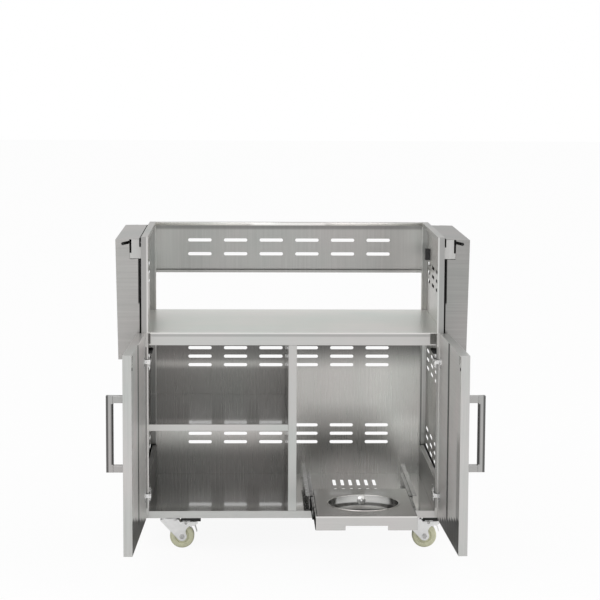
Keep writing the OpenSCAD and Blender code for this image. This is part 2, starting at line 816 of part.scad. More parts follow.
// The tray: a pan turned over, with a wide front flange and a round hole for the ring
module tank_tray() {
    f = tray_front;
    b = tray_front + tray_d;
    low = tray_top - tray_flange;
    over = tray_front_over;
    color(STEEL) at_cabinet() difference() {
        union() {
            block([tray_x0, tray_x1], [f, b], [tray_top - sheet, tray_top]);
            block([tray_x0 - over, tray_x1 + over], [f, f + sheet], [tray_top - tray_lip, tray_top]);
            block([tray_x0 - over, tray_x1 + over], [f, f + tray_nose], [tray_top - sheet, tray_top]);
            block([tray_x0, tray_x0 + sheet], [f, b], [low, tray_top]);
            block([tray_x1 - sheet, tray_x1], [f, b], [low, tray_top]);
            block([tray_x0, tray_x1], [b - sheet, b], [low, tray_top]);
        }
        translate([tray_x, ring_y, tray_top - 5]) cylinder(r = ring_r + ring_wall + seam, h = 10, $fn = 96);
        block([tray_x - notch_w / 2, tray_x + notch_w / 2], [f - 1, f + sheet + 1],
              [tray_top - tray_lip - 1, tray_top - tray_lip + notch_h]);
    }
}

// The ring holds the foot of a gas tank: a collar with a flange under the tray and a ledge below
module tank_ring() {
    low = tray_top - ring_depth;
    out = ring_r + ring_wall;
    flange_z = tray_top - sheet - seam - ring_wall;
    screw_z = tray_top - screw_drop;
    color(STEEL) at_cabinet() translate([tray_x, ring_y, 0]) difference() {
        union() {
            translate([0, 0, low]) cylinder(r = out, h = ring_depth, $fn = 96);
            translate([0, 0, flange_z]) cylinder(r = out + ring_rim, h = ring_wall, $fn = 96);
            translate([0, out + boss_l, screw_z]) rotate([90, 0, 0])
                cylinder(r = tank_screw_r + boss_wall, h = boss_l + ring_wall / 2);
        }
        translate([0, 0, low + ring_wall]) cylinder(r = ring_r, h = ring_depth + 5, $fn = 96);
        translate([0, 0, low - 1]) cylinder(r = ring_r - ring_ledge, h = 5, $fn = 96);
        translate([0, out + boss_l + 1, screw_z]) rotate([90, 0, 0])
            cylinder(r = tank_screw_r + screw_clear, h = boss_l + 12);
    }
}

// The screw that clamps the foot of the tank, with a lobed knob behind the ring
module tank_screw() {
    out = ring_r + ring_wall + boss_l;
    place = [tray_x, ring_y, tray_top - screw_drop];
    color(DARK_STEEL) at_cabinet() translate(place) rotate([-90, 0, 0]) union() {
        translate([0, 0, ring_r]) cylinder(r = tank_screw_r, h = ring_wall + boss_l + knob_gap + knob_h + 1);
        translate([0, 0, out + knob_gap]) difference() {
            cylinder(r = knob_r, h = knob_h);
            for (i = [1 : knob_lobes]) rotate(i * 360 / knob_lobes) translate([knob_r + 1.5, 0, -1])
                cylinder(r = 4, h = knob_h + 2);
        }
    }
}

// Turns a right-hand door part from closed to its open place
module open_door() {
    at_cabinet() translate([hinge_x, hinge_y, 0]) rotate([0, 0, door_open]) translate([-hinge_x, -hinge_y, 0])
        children();
}

module door_skin() {
    y = [-door_gap - door_t, -door_gap];
    z = [door_bottom, door_top];
    color(STEEL) open_door() union() {
        block([door_free, door_edge], [y[0], y[0] + sheet], z);
        block([door_free, door_free + sheet], y, z);
        block([door_edge - sheet, door_edge], y, z);
        block([door_free, door_edge], y, [z[0], z[0] + sheet]);
        block([door_free, door_edge], y, [z[1] - sheet, z[1]]);
    }
}

module cup_holes(extra) {
    for (z = hinge_heights) {
        translate([cup_x, 0, z]) rotate([90, 0, 0]) cylinder(r = cup_r + extra, h = 30);
        block([cup_x, door_edge - sheet - 0.05], [-door_gap - 16, 0],
              [z - throat_h - extra, z + throat_h + extra]);
    }
}

// The inner sheet of a door, folded outwards inside the skin
module door_liner() {
    inset = sheet + seam;
    x = [door_free + inset, door_edge - inset];
    z = [door_bottom + inset, door_top - inset];
    y = [-door_gap - liner_fold, -door_gap];
    color(STEEL) open_door() difference() {
        union() {
            block(x, [-door_gap - sheet, -door_gap], z);
            block([x[0], x[0] + sheet], y, z);
            block([x[1] - sheet, x[1]], y, z);
            block(x, y, [z[0], z[0] + sheet]);
            block(x, y, [z[1] - sheet, z[1]]);
        }
        cup_holes(cup_clear);
    }
}

// The handle: a square bar on two legs
module door_handle() {
    x = door_free + handle_inset;
    face = -door_gap - door_t;
    bar = handle_bar;
    leg_z = handle_l / 2 - bar / 2;
    color(STEEL) open_door() {
        translate([x, face - handle_reach + bar / 2, handle_z - handle_l / 2]) linear_extrude(handle_l)
            rounded(bar, bar, handle_round);
        for (s = [-1, 1]) translate([x, face, handle_z + s * leg_z]) rotate([90, 0, 0])
            linear_extrude(handle_reach - bar) rounded(bar, bar, handle_round);
    }
}

// A cup in the liner with two ears that carry the hinge pin
module hinge_cups() {
    inner_r = cup_r - cup_wall;
    y = [hinge_y - ear_back, -door_gap - ear_front];
    ear_x = [cup_x + inner_r - ear_reach, hinge_x + knuckle_r];
    ear_z = [[-throat_h, -knuckle_h - knuckle_gap], [knuckle_h + knuckle_gap, throat_h]];
    color(ZINC) open_door() for (z = hinge_heights) {
        difference() {
            translate([cup_x, -door_gap, z]) rotate([90, 0, 0]) cylinder(r = cup_r, h = cup_depth);
            translate([cup_x, 1 - door_gap, z]) rotate([90, 0, 0]) cylinder(r = inner_r, h = cup_depth);
            block([cup_x, cup_x + 30], [-door_gap - 10, 0], [z - throat_h, z + throat_h]);
        }
        for (ear = ear_z) block(ear_x, y, [z + ear[0], z + ear[1]]);
        translate([hinge_x, hinge_y, z - throat_h]) cylinder(r = knuckle_pin_r, h = 2 * throat_h);
    }
}

module door_striker() {
    x = door_free + striker_inset;
    top = door_top - striker_drop;
    color(DARK_STEEL) open_door()
        block([x, x + striker[0]], [-door_gap, striker[2] - door_gap], [top - striker[1], top]);
}

module door_bumpers() {
    x = door_free + bumper_inset;
    color(RUBBER) open_door() for (z = [door_bottom + bumper_low, door_top - bumper_drop])
        translate([x, bumper_h - door_gap, z]) rotate([90, 0, 0]) cylinder(r = bumper_r, h = bumper_h);
}

module door_skin_left() { mirror([1, 0, 0]) door_skin(); }
module door_skin_right() { door_skin(); }
module door_liner_left() { mirror([1, 0, 0]) door_liner(); }
module door_liner_right() { door_liner(); }
module door_handle_left() { mirror([1, 0, 0]) door_handle(); }
module door_handle_right() { door_handle(); }
module hinge_cups_left() { mirror([1, 0, 0]) hinge_cups(); }
module hinge_cups_right() { hinge_cups(); }
module door_striker_left() { mirror([1, 0, 0]) door_striker(); }
module door_striker_right() { door_striker(); }
module door_bumpers_left() { mirror([1, 0, 0]) door_bumpers(); }
module door_bumpers_right() { door_bumpers(); }

// A hinge arm reaches from its base on the side wall round the post to the knuckle
module hinge_arms() {
    x0 = cup_x - hinge_arm_t / 2;
    x1 = x0 + hinge_arm_t;
    base_y = [corner_cut + arm_base_start, corner_cut + arm_base_start + arm_base_l];
    walls = [skirt_x - seam, inner_x];
    color(ZINC) at_cabinet() for (m = [0, 1]) mirror([m, 0, 0]) for (i = [0, 1]) {
        z = hinge_heights[i];
        difference() {
            union() {
                block([x0, hinge_x], [hinge_y - arm_bar_t / 2, hinge_y + arm_bar_t / 2],
                      [z - knuckle_h, z + knuckle_h]);
                translate([hinge_x, hinge_y, z - knuckle_h]) cylinder(r = knuckle_r, h = 2 * knuckle_h);
                block([x0, x1], [hinge_y - arm_bar_t / 2, base_y[1]], [z - arm_h2, z + arm_h2]);
                block([x1 - hinge_arm_t / 8, walls[i]], base_y, [z - arm_base_h2, z + arm_base_h2]);
            }
            translate([hinge_x, hinge_y, z - 2 * knuckle_h])
                cylinder(r = knuckle_pin_r + knuckle_clear, h = 4 * knuckle_h);
        }
    }
}

// The dampers above the upper hinges
module door_dampers() {
    z = hinge_heights[1] + damper_rise;
    x = post_x - damper_inset;
    foot = [corner_cut + damper_foot_h2, corner_cut + damper_foot_h2 + damper_foot_l];
    color(RUBBER) at_cabinet() for (m = [0, 1]) mirror([m, 0, 0]) union() {
        block([x, inner_x], foot, [z - damper_foot_h2, z + damper_foot_h2]);
        translate([x, corner_cut + damper_l - 2, z]) rotate([90, 0, 0]) cylinder(r = damper_r, h = damper_l);
        translate([x, corner_cut, z]) rotate([90, 0, 0]) cylinder(r = damper_rod_r, h = corner_cut - 1);
    }
}

// The magnets behind the deck flange that hold the doors shut
module door_magnets() {
    x = door_free + striker_inset;
    high = deck_top - sheet - seam;
    color(RUBBER) at_cabinet() for (m = [0, 1]) mirror([m, 0, 0])
        block([x, x + striker[0]], [sheet + seam, lip], [high - magnet_h, high]);
}

// Puts a part of the right-hand shelf at its pins, hanging down
module hang_shelf() {
    at_cabinet() translate([pin_x, 0, pin_z]) rotate([0, shelf_tilt, 0]) children();
}

// The notches and the slanted pin slot at one end of a shelf
module shelf_end_cuts() {
    block([shelf_in - 1, notch_u], [-1, sheet + 1], [-plate_low - 2, pin_edge + 1]);
    block([shelf_in - 1, cover_u], [-1, sheet + bracket_gap + bracket_t + 3], [-plate_low - 2, pin_edge + 1]);
    hull() for (p = [[0, 0], [-shelf_slot_l, shelf_slot_l * slot_slope]])
        translate([p[0], sheet + 1, p[1]]) rotate([90, 0, 0])
            cylinder(r = pin_r + slot_clear, h = sheet + 2, $fn = 32);
}

// A side shelf: a pan whose open side faces the cart while it hangs
module side_shelf() {
    y0 = shelf_front;
    y1 = shelf_front + side_shelf_l;
    u = [shelf_in, shelf_out];
    w = [shelf_low, pin_edge];
    rim_top = -plate_low - 12;
    color(STEEL) hang_shelf() difference() {
        union() {
            block([shelf_out - sheet, shelf_out], [y0, y1], w);
            block(u, [y0, y0 + sheet], w);
            block(u, [y1 - sheet, y1], w);
            block(u, [y0, y1], [pin_edge - sheet, pin_edge]);
            block(u, [y0, y1], [shelf_low, shelf_low + sheet]);
            block([shelf_in, shelf_in + sheet], [y0, y1], [shelf_low, shelf_low + lip]);
            block([shelf_in, shelf_in + sheet], [y0, y0 + lip], [shelf_low, rim_top]);
            block([shelf_in, shelf_in + sheet], [y1 - lip, y1], [shelf_low, rim_top]);
        }
        translate([0, y0, 0]) shelf_end_cuts();
        translate([0, y1, 0]) mirror([0, 1, 0]) shelf_end_cuts();
    }
}

module shelf_stiffener() {
    w = shelf_low * stiffener_place;
    depth = stiffener_depth;
    half = stiffener_half;
    out = shelf_out - sheet - seam;
    y = [shelf_front + sheet + seam, shelf_front + side_shelf_l - sheet - seam];
    color(DARK_STEEL) hang_shelf() union() {
        block([out - depth, out - depth + sheet], y, [w - half, w + half]);
        for (s = [-1, 1]) {
            block([out - depth, out], y,
                  [w + (s > 0 ? half - sheet : -half), w + (s > 0 ? half : sheet - half)]);
            block([out - sheet, out], y,
                  [w + (s > 0 ? half - sheet : -half - lip), w + (s > 0 ? half + lip : sheet - half)]);
        }
    }
}

// A bracket: a plate in the notch of the shelf, an arm below and a finger for the pin
module shelf_bracket() {
    z0 = pin_z - plate_low;
    x_pin = pin_x;
    y = [bracket_y, bracket_y + bracket_t];
    foot_x = half_w + 0.2;
    color(STEEL) at_cabinet() difference() {
        union() {
            block([half_w + plate_in, half_w + plate_out], y, [z0, pin_z + pin_edge]);
            block([foot_x, half_w + plate_in + 1], y, [z0, z0 + foot_h]);
            block([foot_x, foot_x + bracket_t], [bracket_y, bracket_y + foot_l], [z0, z0 + foot_h]);
            block([half_w + plate_out - 1, x_pin + finger_r], y, [z0, z0 + arm_h]);
            block([x_pin - finger_r, x_pin + finger_r], y, [z0, pin_z]);
            translate([x_pin, y[1], pin_z]) rotate([90, 0, 0]) cylinder(r = finger_r, h = bracket_t);
        }
        translate([x_pin, y[1] + 1, pin_z]) rotate([90, 0, 0]) cylinder(r = pin_r + 0.05, h = bracket_t + 2);
    }
}

module shelf_brackets() {
    shelf_bracket();
    translate([0, 2 * front_y + side_d, 0]) mirror([0, 1, 0]) shelf_bracket();
}

module shelf_pins() {
    start = shelf_front - pin_proud;
    length = bracket_y + bracket_t + pin_proud - start;
    color(DARK_STEEL) at_cabinet() for (m = [0, 1]) mirror([m, 0, 0]) {
        translate([pin_x, start + length, pin_z]) rotate([90, 0, 0]) cylinder(r = pin_r, h = length);
        translate([pin_x, side_d - start, pin_z]) rotate([90, 0, 0]) cylinder(r = pin_r, h = length);
    }
}

module shelf_brackets_left() { mirror([1, 0, 0]) shelf_brackets(); }
module shelf_brackets_right() { shelf_brackets(); }
module side_shelf_left() { mirror([1, 0, 0]) side_shelf(); }
module side_shelf_right() { side_shelf(); }
module shelf_stiffener_left() { mirror([1, 0, 0]) shelf_stiffener(); }
module shelf_stiffener_right() { shelf_stiffener(); }

side_panel_left();
side_panel_right();
rear_rail();
rear_panel();
deck();
floor_pan();
divider();
middle_shelf();
wall_skirts();
rear_screws();
hose_clip();
caster_rails();
caster_plates();
caster_bolts();
slide_brackets();
slide_outer_members();
slide_middle_members();
slide_inner_members();
tank_tray();
tank_ring();
tank_screw();
hinge_arms();
door_dampers();
door_magnets();
door_skin_left();
door_liner_left();
door_handle_left();
hinge_cups_left();
door_striker_left();
door_bumpers_left();
door_skin_right();
door_liner_right();
door_handle_right();
hinge_cups_right();
door_striker_right();
door_bumpers_right();
shelf_brackets_left();
shelf_brackets_right();
shelf_pins();
side_shelf_left();
side_shelf_right();
shelf_stiffener_left();
shelf_stiffener_right();
fork_front_left();
fork_front_right();
fork_rear_left();
fork_rear_right();
wheel_front_left();
wheel_front_right();
wheel_rear_left();
wheel_rear_right();
axle_front_left();
axle_front_right();
axle_rear_left();
axle_rear_right();
brake_pedal_left();
brake_pedal_right();
pedal_pin_left();
pedal_pin_right();
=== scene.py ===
import json
import math

import bmesh
import bpy
import numpy as np
from mathutils import Matrix, Vector


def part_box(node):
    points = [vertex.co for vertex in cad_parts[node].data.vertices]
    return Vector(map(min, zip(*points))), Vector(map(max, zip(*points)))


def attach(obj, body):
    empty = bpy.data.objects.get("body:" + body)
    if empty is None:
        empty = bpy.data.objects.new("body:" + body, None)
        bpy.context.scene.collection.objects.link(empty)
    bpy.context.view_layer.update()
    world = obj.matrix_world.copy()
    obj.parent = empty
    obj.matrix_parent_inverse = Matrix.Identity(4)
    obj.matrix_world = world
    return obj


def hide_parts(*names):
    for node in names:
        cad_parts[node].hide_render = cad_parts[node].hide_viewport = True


bl_info = {
    "name": "Grill Cart",
    "version": (1, 0, 0),
    "blender": (4, 5, 0),
    "location": "View3D > Sidebar > Grill Cart",
    "description": "Dresses the packed grill cart in brushed steel, zinc, rubber and plastic",
    "category": "Object",
}

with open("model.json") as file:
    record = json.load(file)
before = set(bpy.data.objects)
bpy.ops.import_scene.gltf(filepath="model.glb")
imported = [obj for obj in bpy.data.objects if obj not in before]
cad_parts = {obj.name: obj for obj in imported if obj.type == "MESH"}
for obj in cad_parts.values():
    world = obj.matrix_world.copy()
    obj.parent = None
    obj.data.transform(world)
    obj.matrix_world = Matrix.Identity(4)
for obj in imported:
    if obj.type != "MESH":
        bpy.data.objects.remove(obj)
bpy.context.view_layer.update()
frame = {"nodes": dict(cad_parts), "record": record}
RECORD = frame["record"]
BODY_OF = {node: body for body, nodes in RECORD["behaviour"]["bodies"].items() for node in nodes}
SIDES = {"left": -1, "right": 1}
ENDS = ("front", "rear")
AXES = {"X": (1, 0, 0), "Y": (0, 1, 0), "Z": (0, 0, 1)}
GRAIN_MAP = "grain"
ACROSS_GRAIN = 0.25
WIDE = 9.0
HAIR = 0.00002

# The share of a face's normal along a direction from which the face is square to it, or looks along it
SQUARE_ON = 0.9
FACING = 0.7

# Places from the frame, in metres
DECK_LOW, DECK_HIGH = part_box("deck")
TRAY_LOW, TRAY_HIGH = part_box("tank_tray")
RING_LOW, RING_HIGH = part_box("tank_ring")
HANDLE_LOW, HANDLE_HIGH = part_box("door_handle_right")
POST_IN, POST_OUT = (corner.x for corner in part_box("side_panel_right"))
CABINET_FRONT = DECK_LOW.y
DECK_TOP = DECK_HIGH.z
FLOOR_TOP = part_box("floor_pan")[1].z
SHELF_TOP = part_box("middle_shelf")[1].z
RAIL_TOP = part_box("rear_rail")[1].z
SIDE_SHELF_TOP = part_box("side_shelf_right")[1].z
DOOR_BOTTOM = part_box("door_liner_right")[0].z


class CartSteel(bpy.types.PropertyGroup):
    """Colours and finish of the metals. The deck's top, the front edges and the walls in the bays take
    lighter copies of the panels' steel, and the shelf and floor a darker one: painted light and shade.
    """

    tray_color: bpy.props.FloatVectorProperty(
        name="Tray", description="Colour of the tank tray and the divider", subtype="COLOR",
        default=(0.60, 0.595, 0.58), min=0, max=1)
    panel_color: bpy.props.FloatVectorProperty(
        name="Panels", description="Colour of the side panels, rail, rear and side shelves", subtype="COLOR",
        default=(0.46, 0.455, 0.445), min=0, max=1)
    deck_color: bpy.props.FloatVectorProperty(
        name="Deck", description="Colour of the deck's top", subtype="COLOR",
        default=(0.70, 0.71, 0.685), min=0, max=1)
    lip_color: bpy.props.FloatVectorProperty(
        name="Front edges", description="Colour of the front flanges, door skins and brackets",
        subtype="COLOR", default=(0.58, 0.58, 0.57), min=0, max=1)
    bay_color: bpy.props.FloatVectorProperty(
        name="Bays", description="Colour of the rear panel and the walls inside the bays", subtype="COLOR",
        default=(0.72, 0.71, 0.69), min=0, max=1)
    shelf_color: bpy.props.FloatVectorProperty(
        name="Shelf and floor", description="Colour of the middle shelf and the floor", subtype="COLOR",
        default=(0.30, 0.295, 0.285), min=0, max=1)
    liner_color: bpy.props.FloatVectorProperty(
        name="Door liners", description="Colour of the liners inside the doors, the hem and the bead",
        subtype="COLOR", default=(0.90, 0.89, 0.87), min=0, max=1)
    ring_color: bpy.props.FloatVectorProperty(
        name="Tank ring", description="Colour of the ring in the tank tray", subtype="COLOR",
        default=(0.60, 0.60, 0.59), min=0, max=1)
    slide_color: bpy.props.FloatVectorProperty(
        name="Slides", description="Colour of the tray's slides and their brackets", subtype="COLOR",
        default=(0.27, 0.27, 0.27), min=0, max=1)
    mill_color: bpy.props.FloatVectorProperty(
        name="Undersides", description="Colour of the unbrushed undersides", subtype="COLOR",
        default=(0.26, 0.26, 0.255), min=0, max=1)
    handle_color: bpy.props.FloatVectorProperty(
        name="Handles", description="Colour of the handle bars", subtype="COLOR",
        default=(0.44, 0.435, 0.43), min=0, max=1)
    zinc_color: bpy.props.FloatVectorProperty(
        name="Zinc plate", description="Colour of the plated casters, hinges and screw boss",
        subtype="COLOR", default=(0.86, 0.86, 0.855), min=0, max=1)
    bolt_color: bpy.props.FloatVectorProperty(
        name="Fasteners", description="Colour of screws, bolts and axles", subtype="COLOR",
        default=(0.50, 0.50, 0.49), min=0, max=1)
    sheet_roughness: bpy.props.FloatProperty(
        name="Sheet roughness", description="Roughness of the finer sheets", subtype="FACTOR",
        default=0.24, min=0, max=1)
    panel_roughness: bpy.props.FloatProperty(
        name="Panel roughness", description="Roughness of the coarser panels", subtype="FACTOR",
        default=0.32, min=0, max=1)
    grain_pitch: bpy.props.FloatProperty(
        name="Grain pitch", description="Distance between the brush lines", subtype="DISTANCE",
        unit="LENGTH", default=0.0016, min=0.0004, max=0.02)
    fold_radius: bpy.props.FloatProperty(
        name="Fold radius", description="Radius of the sheet edges", subtype="DISTANCE", unit="LENGTH",
        default=0.0005, min=0.0001, max=0.003)
    shelf_fold_radius: bpy.props.FloatProperty(
        name="Shelf fold radius", description="Radius of the edges of the deck, shelf and floor",
        subtype="DISTANCE", unit="LENGTH", default=0.0015, min=0.0001, max=0.003)
    tray_fold_radius: bpy.props.FloatProperty(
        name="Tray fold radius", description="Radius of the edges of the tank tray", subtype="DISTANCE",
        unit="LENGTH", default=0.001, min=0.0001, max=0.003)


class CartTrim(bpy.types.PropertyGroup):
    """Sizes of the small trim."""

    hem_height: bpy.props.FloatProperty(
        name="Hem height", description="Height of the folded hem along the rear rail", subtype="DISTANCE",
        unit="LENGTH", default=0.0095, min=0.002, max=0.012)
    hem_thickness: bpy.props.FloatProperty(
        name="Hem thickness", description="Thickness of that hem", subtype="DISTANCE", unit="LENGTH",
        default=0.0024, min=0.001, max=0.004)
    ring_radius: bpy.props.FloatProperty(
        name="Ring radius", description="Radius of the tank ring's wall", subtype="DISTANCE",
        unit="LENGTH", default=0.1075, min=0.104, max=0.112)
    bead_width: bpy.props.FloatProperty(
        name="Bead width", description="Width of the rolled bead round the ring", subtype="DISTANCE",
        unit="LENGTH", default=0.0029, min=0.001, max=0.005)
    bead_height: bpy.props.FloatProperty(
        name="Bead height", description="Height of that bead", subtype="DISTANCE", unit="LENGTH",
        default=0.0026, min=0.001, max=0.004)


class CartSoft(bpy.types.PropertyGroup):
    """Colours of the plastic and rubber pieces."""

    tread_color: bpy.props.FloatVectorProperty(
        name="Wheel", description="Colour of the wheels", subtype="COLOR",
        default=(0.70, 0.70, 0.50), min=0, max=1)
    black_color: bpy.props.FloatVectorProperty(
        name="Black plastic", description="Colour of clips, dampers, magnets and pedal pads",
        subtype="COLOR", default=(0.012, 0.012, 0.012), min=0, max=1)


class CartStage(bpy.types.PropertyGroup):
    """The floor, the light and the camera."""

    floor_color: bpy.props.FloatVectorProperty(
        name="Floor", description="Colour of the floor", subtype="COLOR", default=(0.92, 0.92, 0.92),
        min=0, max=1)
    floor_size: bpy.props.FloatProperty(
        name="Floor size", description="Length of the sides of the floor", subtype="DISTANCE",
        unit="LENGTH", default=60.0, min=5)
    floor_white: bpy.props.FloatProperty(
        name="Floor white", description="Share of plain white in the floor where the camera sees it",
        subtype="FACTOR", default=0.93, min=0, max=1)
    mirrored_white: bpy.props.FloatProperty(
        name="Mirrored white", description="Share of plain white in the floor where metal mirrors it",
        subtype="FACTOR", default=0.3, min=0, max=1)
    shade_radius: bpy.props.FloatProperty(
        name="Shade radius", description="Radius of the deep shade under the cart that metal mirrors",
        subtype="DISTANCE", unit="LENGTH", default=0.5, min=0.1)
    shade_fade: bpy.props.FloatProperty(
        name="Shade fade", description="Length over which that shade fades out", subtype="DISTANCE",
        unit="LENGTH", default=0.25, min=0.01)
    shade_middle: bpy.props.FloatProperty(
        name="Shade middle", description="Middle of that shade behind the cart's origin",
        subtype="DISTANCE", unit="LENGTH", default=0.55)
    shade_depth: bpy.props.FloatProperty(
        name="Shade depth", description="How dark that shade is", subtype="FACTOR", default=0.94,
        min=0, max=1)
    sky_light: bpy.props.FloatProperty(
        name="Sky light", description="Strength of the light from all round on matt surfaces",
        default=0.75, min=0)
    key_power: bpy.props.FloatProperty(
        name="Key light", description="Power of the large lamp at the front left", subtype="POWER",
        unit="POWER", default=130.0, min=0)
    fill_power: bpy.props.FloatProperty(
        name="Fill light", description="Power of the large lamp at the right", subtype="POWER",
        unit="POWER", default=70.0, min=0)
    lens: bpy.props.FloatProperty(
        name="Lens", description="Focal length of the camera", subtype="DISTANCE_CAMERA",
        default=118.961, min=10)
    camera_place: bpy.props.FloatVectorProperty(
        name="Camera place", subtype="TRANSLATION", unit="LENGTH", default=(-0.14457, -5.93777, 1.50626),
        description="Place of the camera from the middle of the cabinet front on the floor")
    camera_yaw: bpy.props.FloatProperty(
        name="Camera yaw", description="Turn of the camera to the right", subtype="ANGLE",
        unit="ROTATION", default=0.0279)
    camera_pitch: bpy.props.FloatProperty(
        name="Camera pitch", description="Tilt of the camera down", subtype="ANGLE", unit="ROTATION",
        default=0.1220)
    camera_roll: bpy.props.FloatProperty(
        name="Camera roll", description="Roll of the camera", subtype="ANGLE", unit="ROTATION",
        default=0.0047)


def steel():
    """The settings of the metals."""
    return bpy.context.scene.cart_steel


def add_node(tree, kind, inputs=None, **settings):
    """Adds a shader node and sets it up. Each input takes a plain value or another node's output."""
    node = tree.nodes.new(kind)
    for name, value in settings.items():
        setattr(node, name, value)
    for name, value in (inputs or {}).items():
        if isinstance(value, bpy.types.NodeSocket):
            tree.links.new(value, node.inputs[name])
        else:
            node.inputs[name].default_value = value
    return node


def new_material():
    """A material with an empty tree."""
    made = bpy.data.materials.new("finish")
    made.use_nodes = True
    made.node_tree.nodes.clear()
    return made, made.node_tree


def add_surface(tree, inputs):
    """Adds the surface shader with its inputs, and the output."""
    shader = add_node(tree, "ShaderNodeBsdfPrincipled", inputs)
    add_node(tree, "ShaderNodeOutputMaterial", {"Surface": shader.outputs["BSDF"]})


def object_place(tree):
    """The place of a point in the piece's own coordinates."""
    return add_node(tree, "ShaderNodeTexCoord").outputs["Object"]


def worked_out(tree, operation, *values):
    """The result of one sum on values or outputs."""
    return add_node(tree, "ShaderNodeMath", dict(enumerate(values)), operation=operation).outputs["Value"]


def multiply(tree, first, second):
    """The product of two values."""
    return worked_out(tree, "MULTIPLY", first, second)


def stretched_noise(tree, coordinates, scale, detail=3.0):
    """Noise with its own scale, per metre, along each axis of the coordinates."""
    mapping = add_node(tree, "ShaderNodeMapping", {"Vector": coordinates, "Scale": scale})
    noise = add_node(tree, "ShaderNodeTexNoise", {
        "Vector": mapping.outputs["Vector"], "Scale": 1.0, "Detail": detail, "Roughness": 0.55})
    return noise.outputs["Fac"]


def even_noise(tree, coordinates, scale, detail=3.0):
    """Noise with one scale, per metre, along all axes."""
    return stretched_noise(tree, coordinates, (scale, scale, scale), detail)


def brush_lines(tree, uv, pitch, length, width, detail):
    """Noise drawn out along U. Its length and width are given in steps of the pitch."""
    return stretched_noise(tree, uv, (1 / (pitch * length), 1 / (pitch * width), 1), detail)


def spread(tree, value, low, high):
    """Spreads a noise value, mostly between 0.3 and 0.7, over low to high."""
    return add_node(tree, "ShaderNodeMapRange", {
        "Value": value, "From Min": 0.3, "From Max": 0.7, "To Min": low, "To Max": high}).outputs["Result"]


def around(tree, value, middle, share):
    """Spreads a noise value to both sides of a middle by a share of it."""
    return spread(tree, value, middle * (1 - share), middle * (1 + share))


def tinted(tree, color, value):
    """A colour, plain or from another node, made lighter or darker by a value round 1."""
    node = add_node(tree, "ShaderNodeVectorMath", {0: color, "Scale": value}, operation="SCALE")
    return node.outputs["Vector"]


def patch(factor, **spans):
    """A part of a surface with its own tone: a factor, and for each axis named its low end, its high end and
    the length over which the factor fades to 1 inside them, in metres."""
    axes = [spans.get(axis, (-WIDE, WIDE, 1.0)) for axis in "xyz"]
    middle = [(low + high) / 2 for low, high, fade in axes]
    half = [(high - low) / 2 for low, high, fade in axes]
    return factor, middle, half, [long - fade for long, (low, high, fade) in zip(half, axes)]


def both_sides(factor, x, **spans):
    """A patch and its mirror image on the other side of the cart."""
    low, high, fade = x
    return patch(factor, x=x, **spans), patch(factor, x=(-high, -low, fade), **spans)


def shaded(tree, place, tone, patches):
    """A tone times the factor of each patch. A patch's weight is the product of a smooth step along each
    axis, from its ends to where it is whole."""
    for factor, middle, half, whole in patches:
        away = add_node(tree, "ShaderNodeVectorMath", {0: place, 1: middle}, operation="SUBTRACT")
        size = add_node(tree, "ShaderNodeVectorMath", {0: away.outputs["Vector"]}, operation="ABSOLUTE")
        ends = {"From_Min_FLOAT3": half, "From_Max_FLOAT3": whole, "To_Min_FLOAT3": (0, 0, 0),
                "To_Max_FLOAT3": (1, 1, 1)}
        steps = add_node(tree, "ShaderNodeMapRange", data_type="FLOAT_VECTOR",
                         interpolation_type="SMOOTHSTEP")
        for socket in steps.inputs:
            if socket.identifier in ends:
                socket.default_value = ends[socket.identifier]
            if socket.identifier == "Vector":
                tree.links.new(size.outputs["Vector"], socket)
        axes = add_node(tree, "ShaderNodeSeparateXYZ", {0: steps.outputs["Vector"]})
        inside = multiply(tree, multiply(tree, axes.outputs["X"], axes.outputs["Y"]), axes.outputs["Z"])
        tone = multiply(tree, tone, worked_out(tree, "MULTIPLY_ADD", inside, factor - 1, 1.0))
    return tone


COOL_TINGE = (0.98, 1.01, 0.995)
WARM_TINGE = (1.02, 0.985, 0.985)


def tinged(color, tinge):
    """A colour times a tinge, with its alpha."""
    return (*(part * share for part, share in zip(color, tinge)), 1)


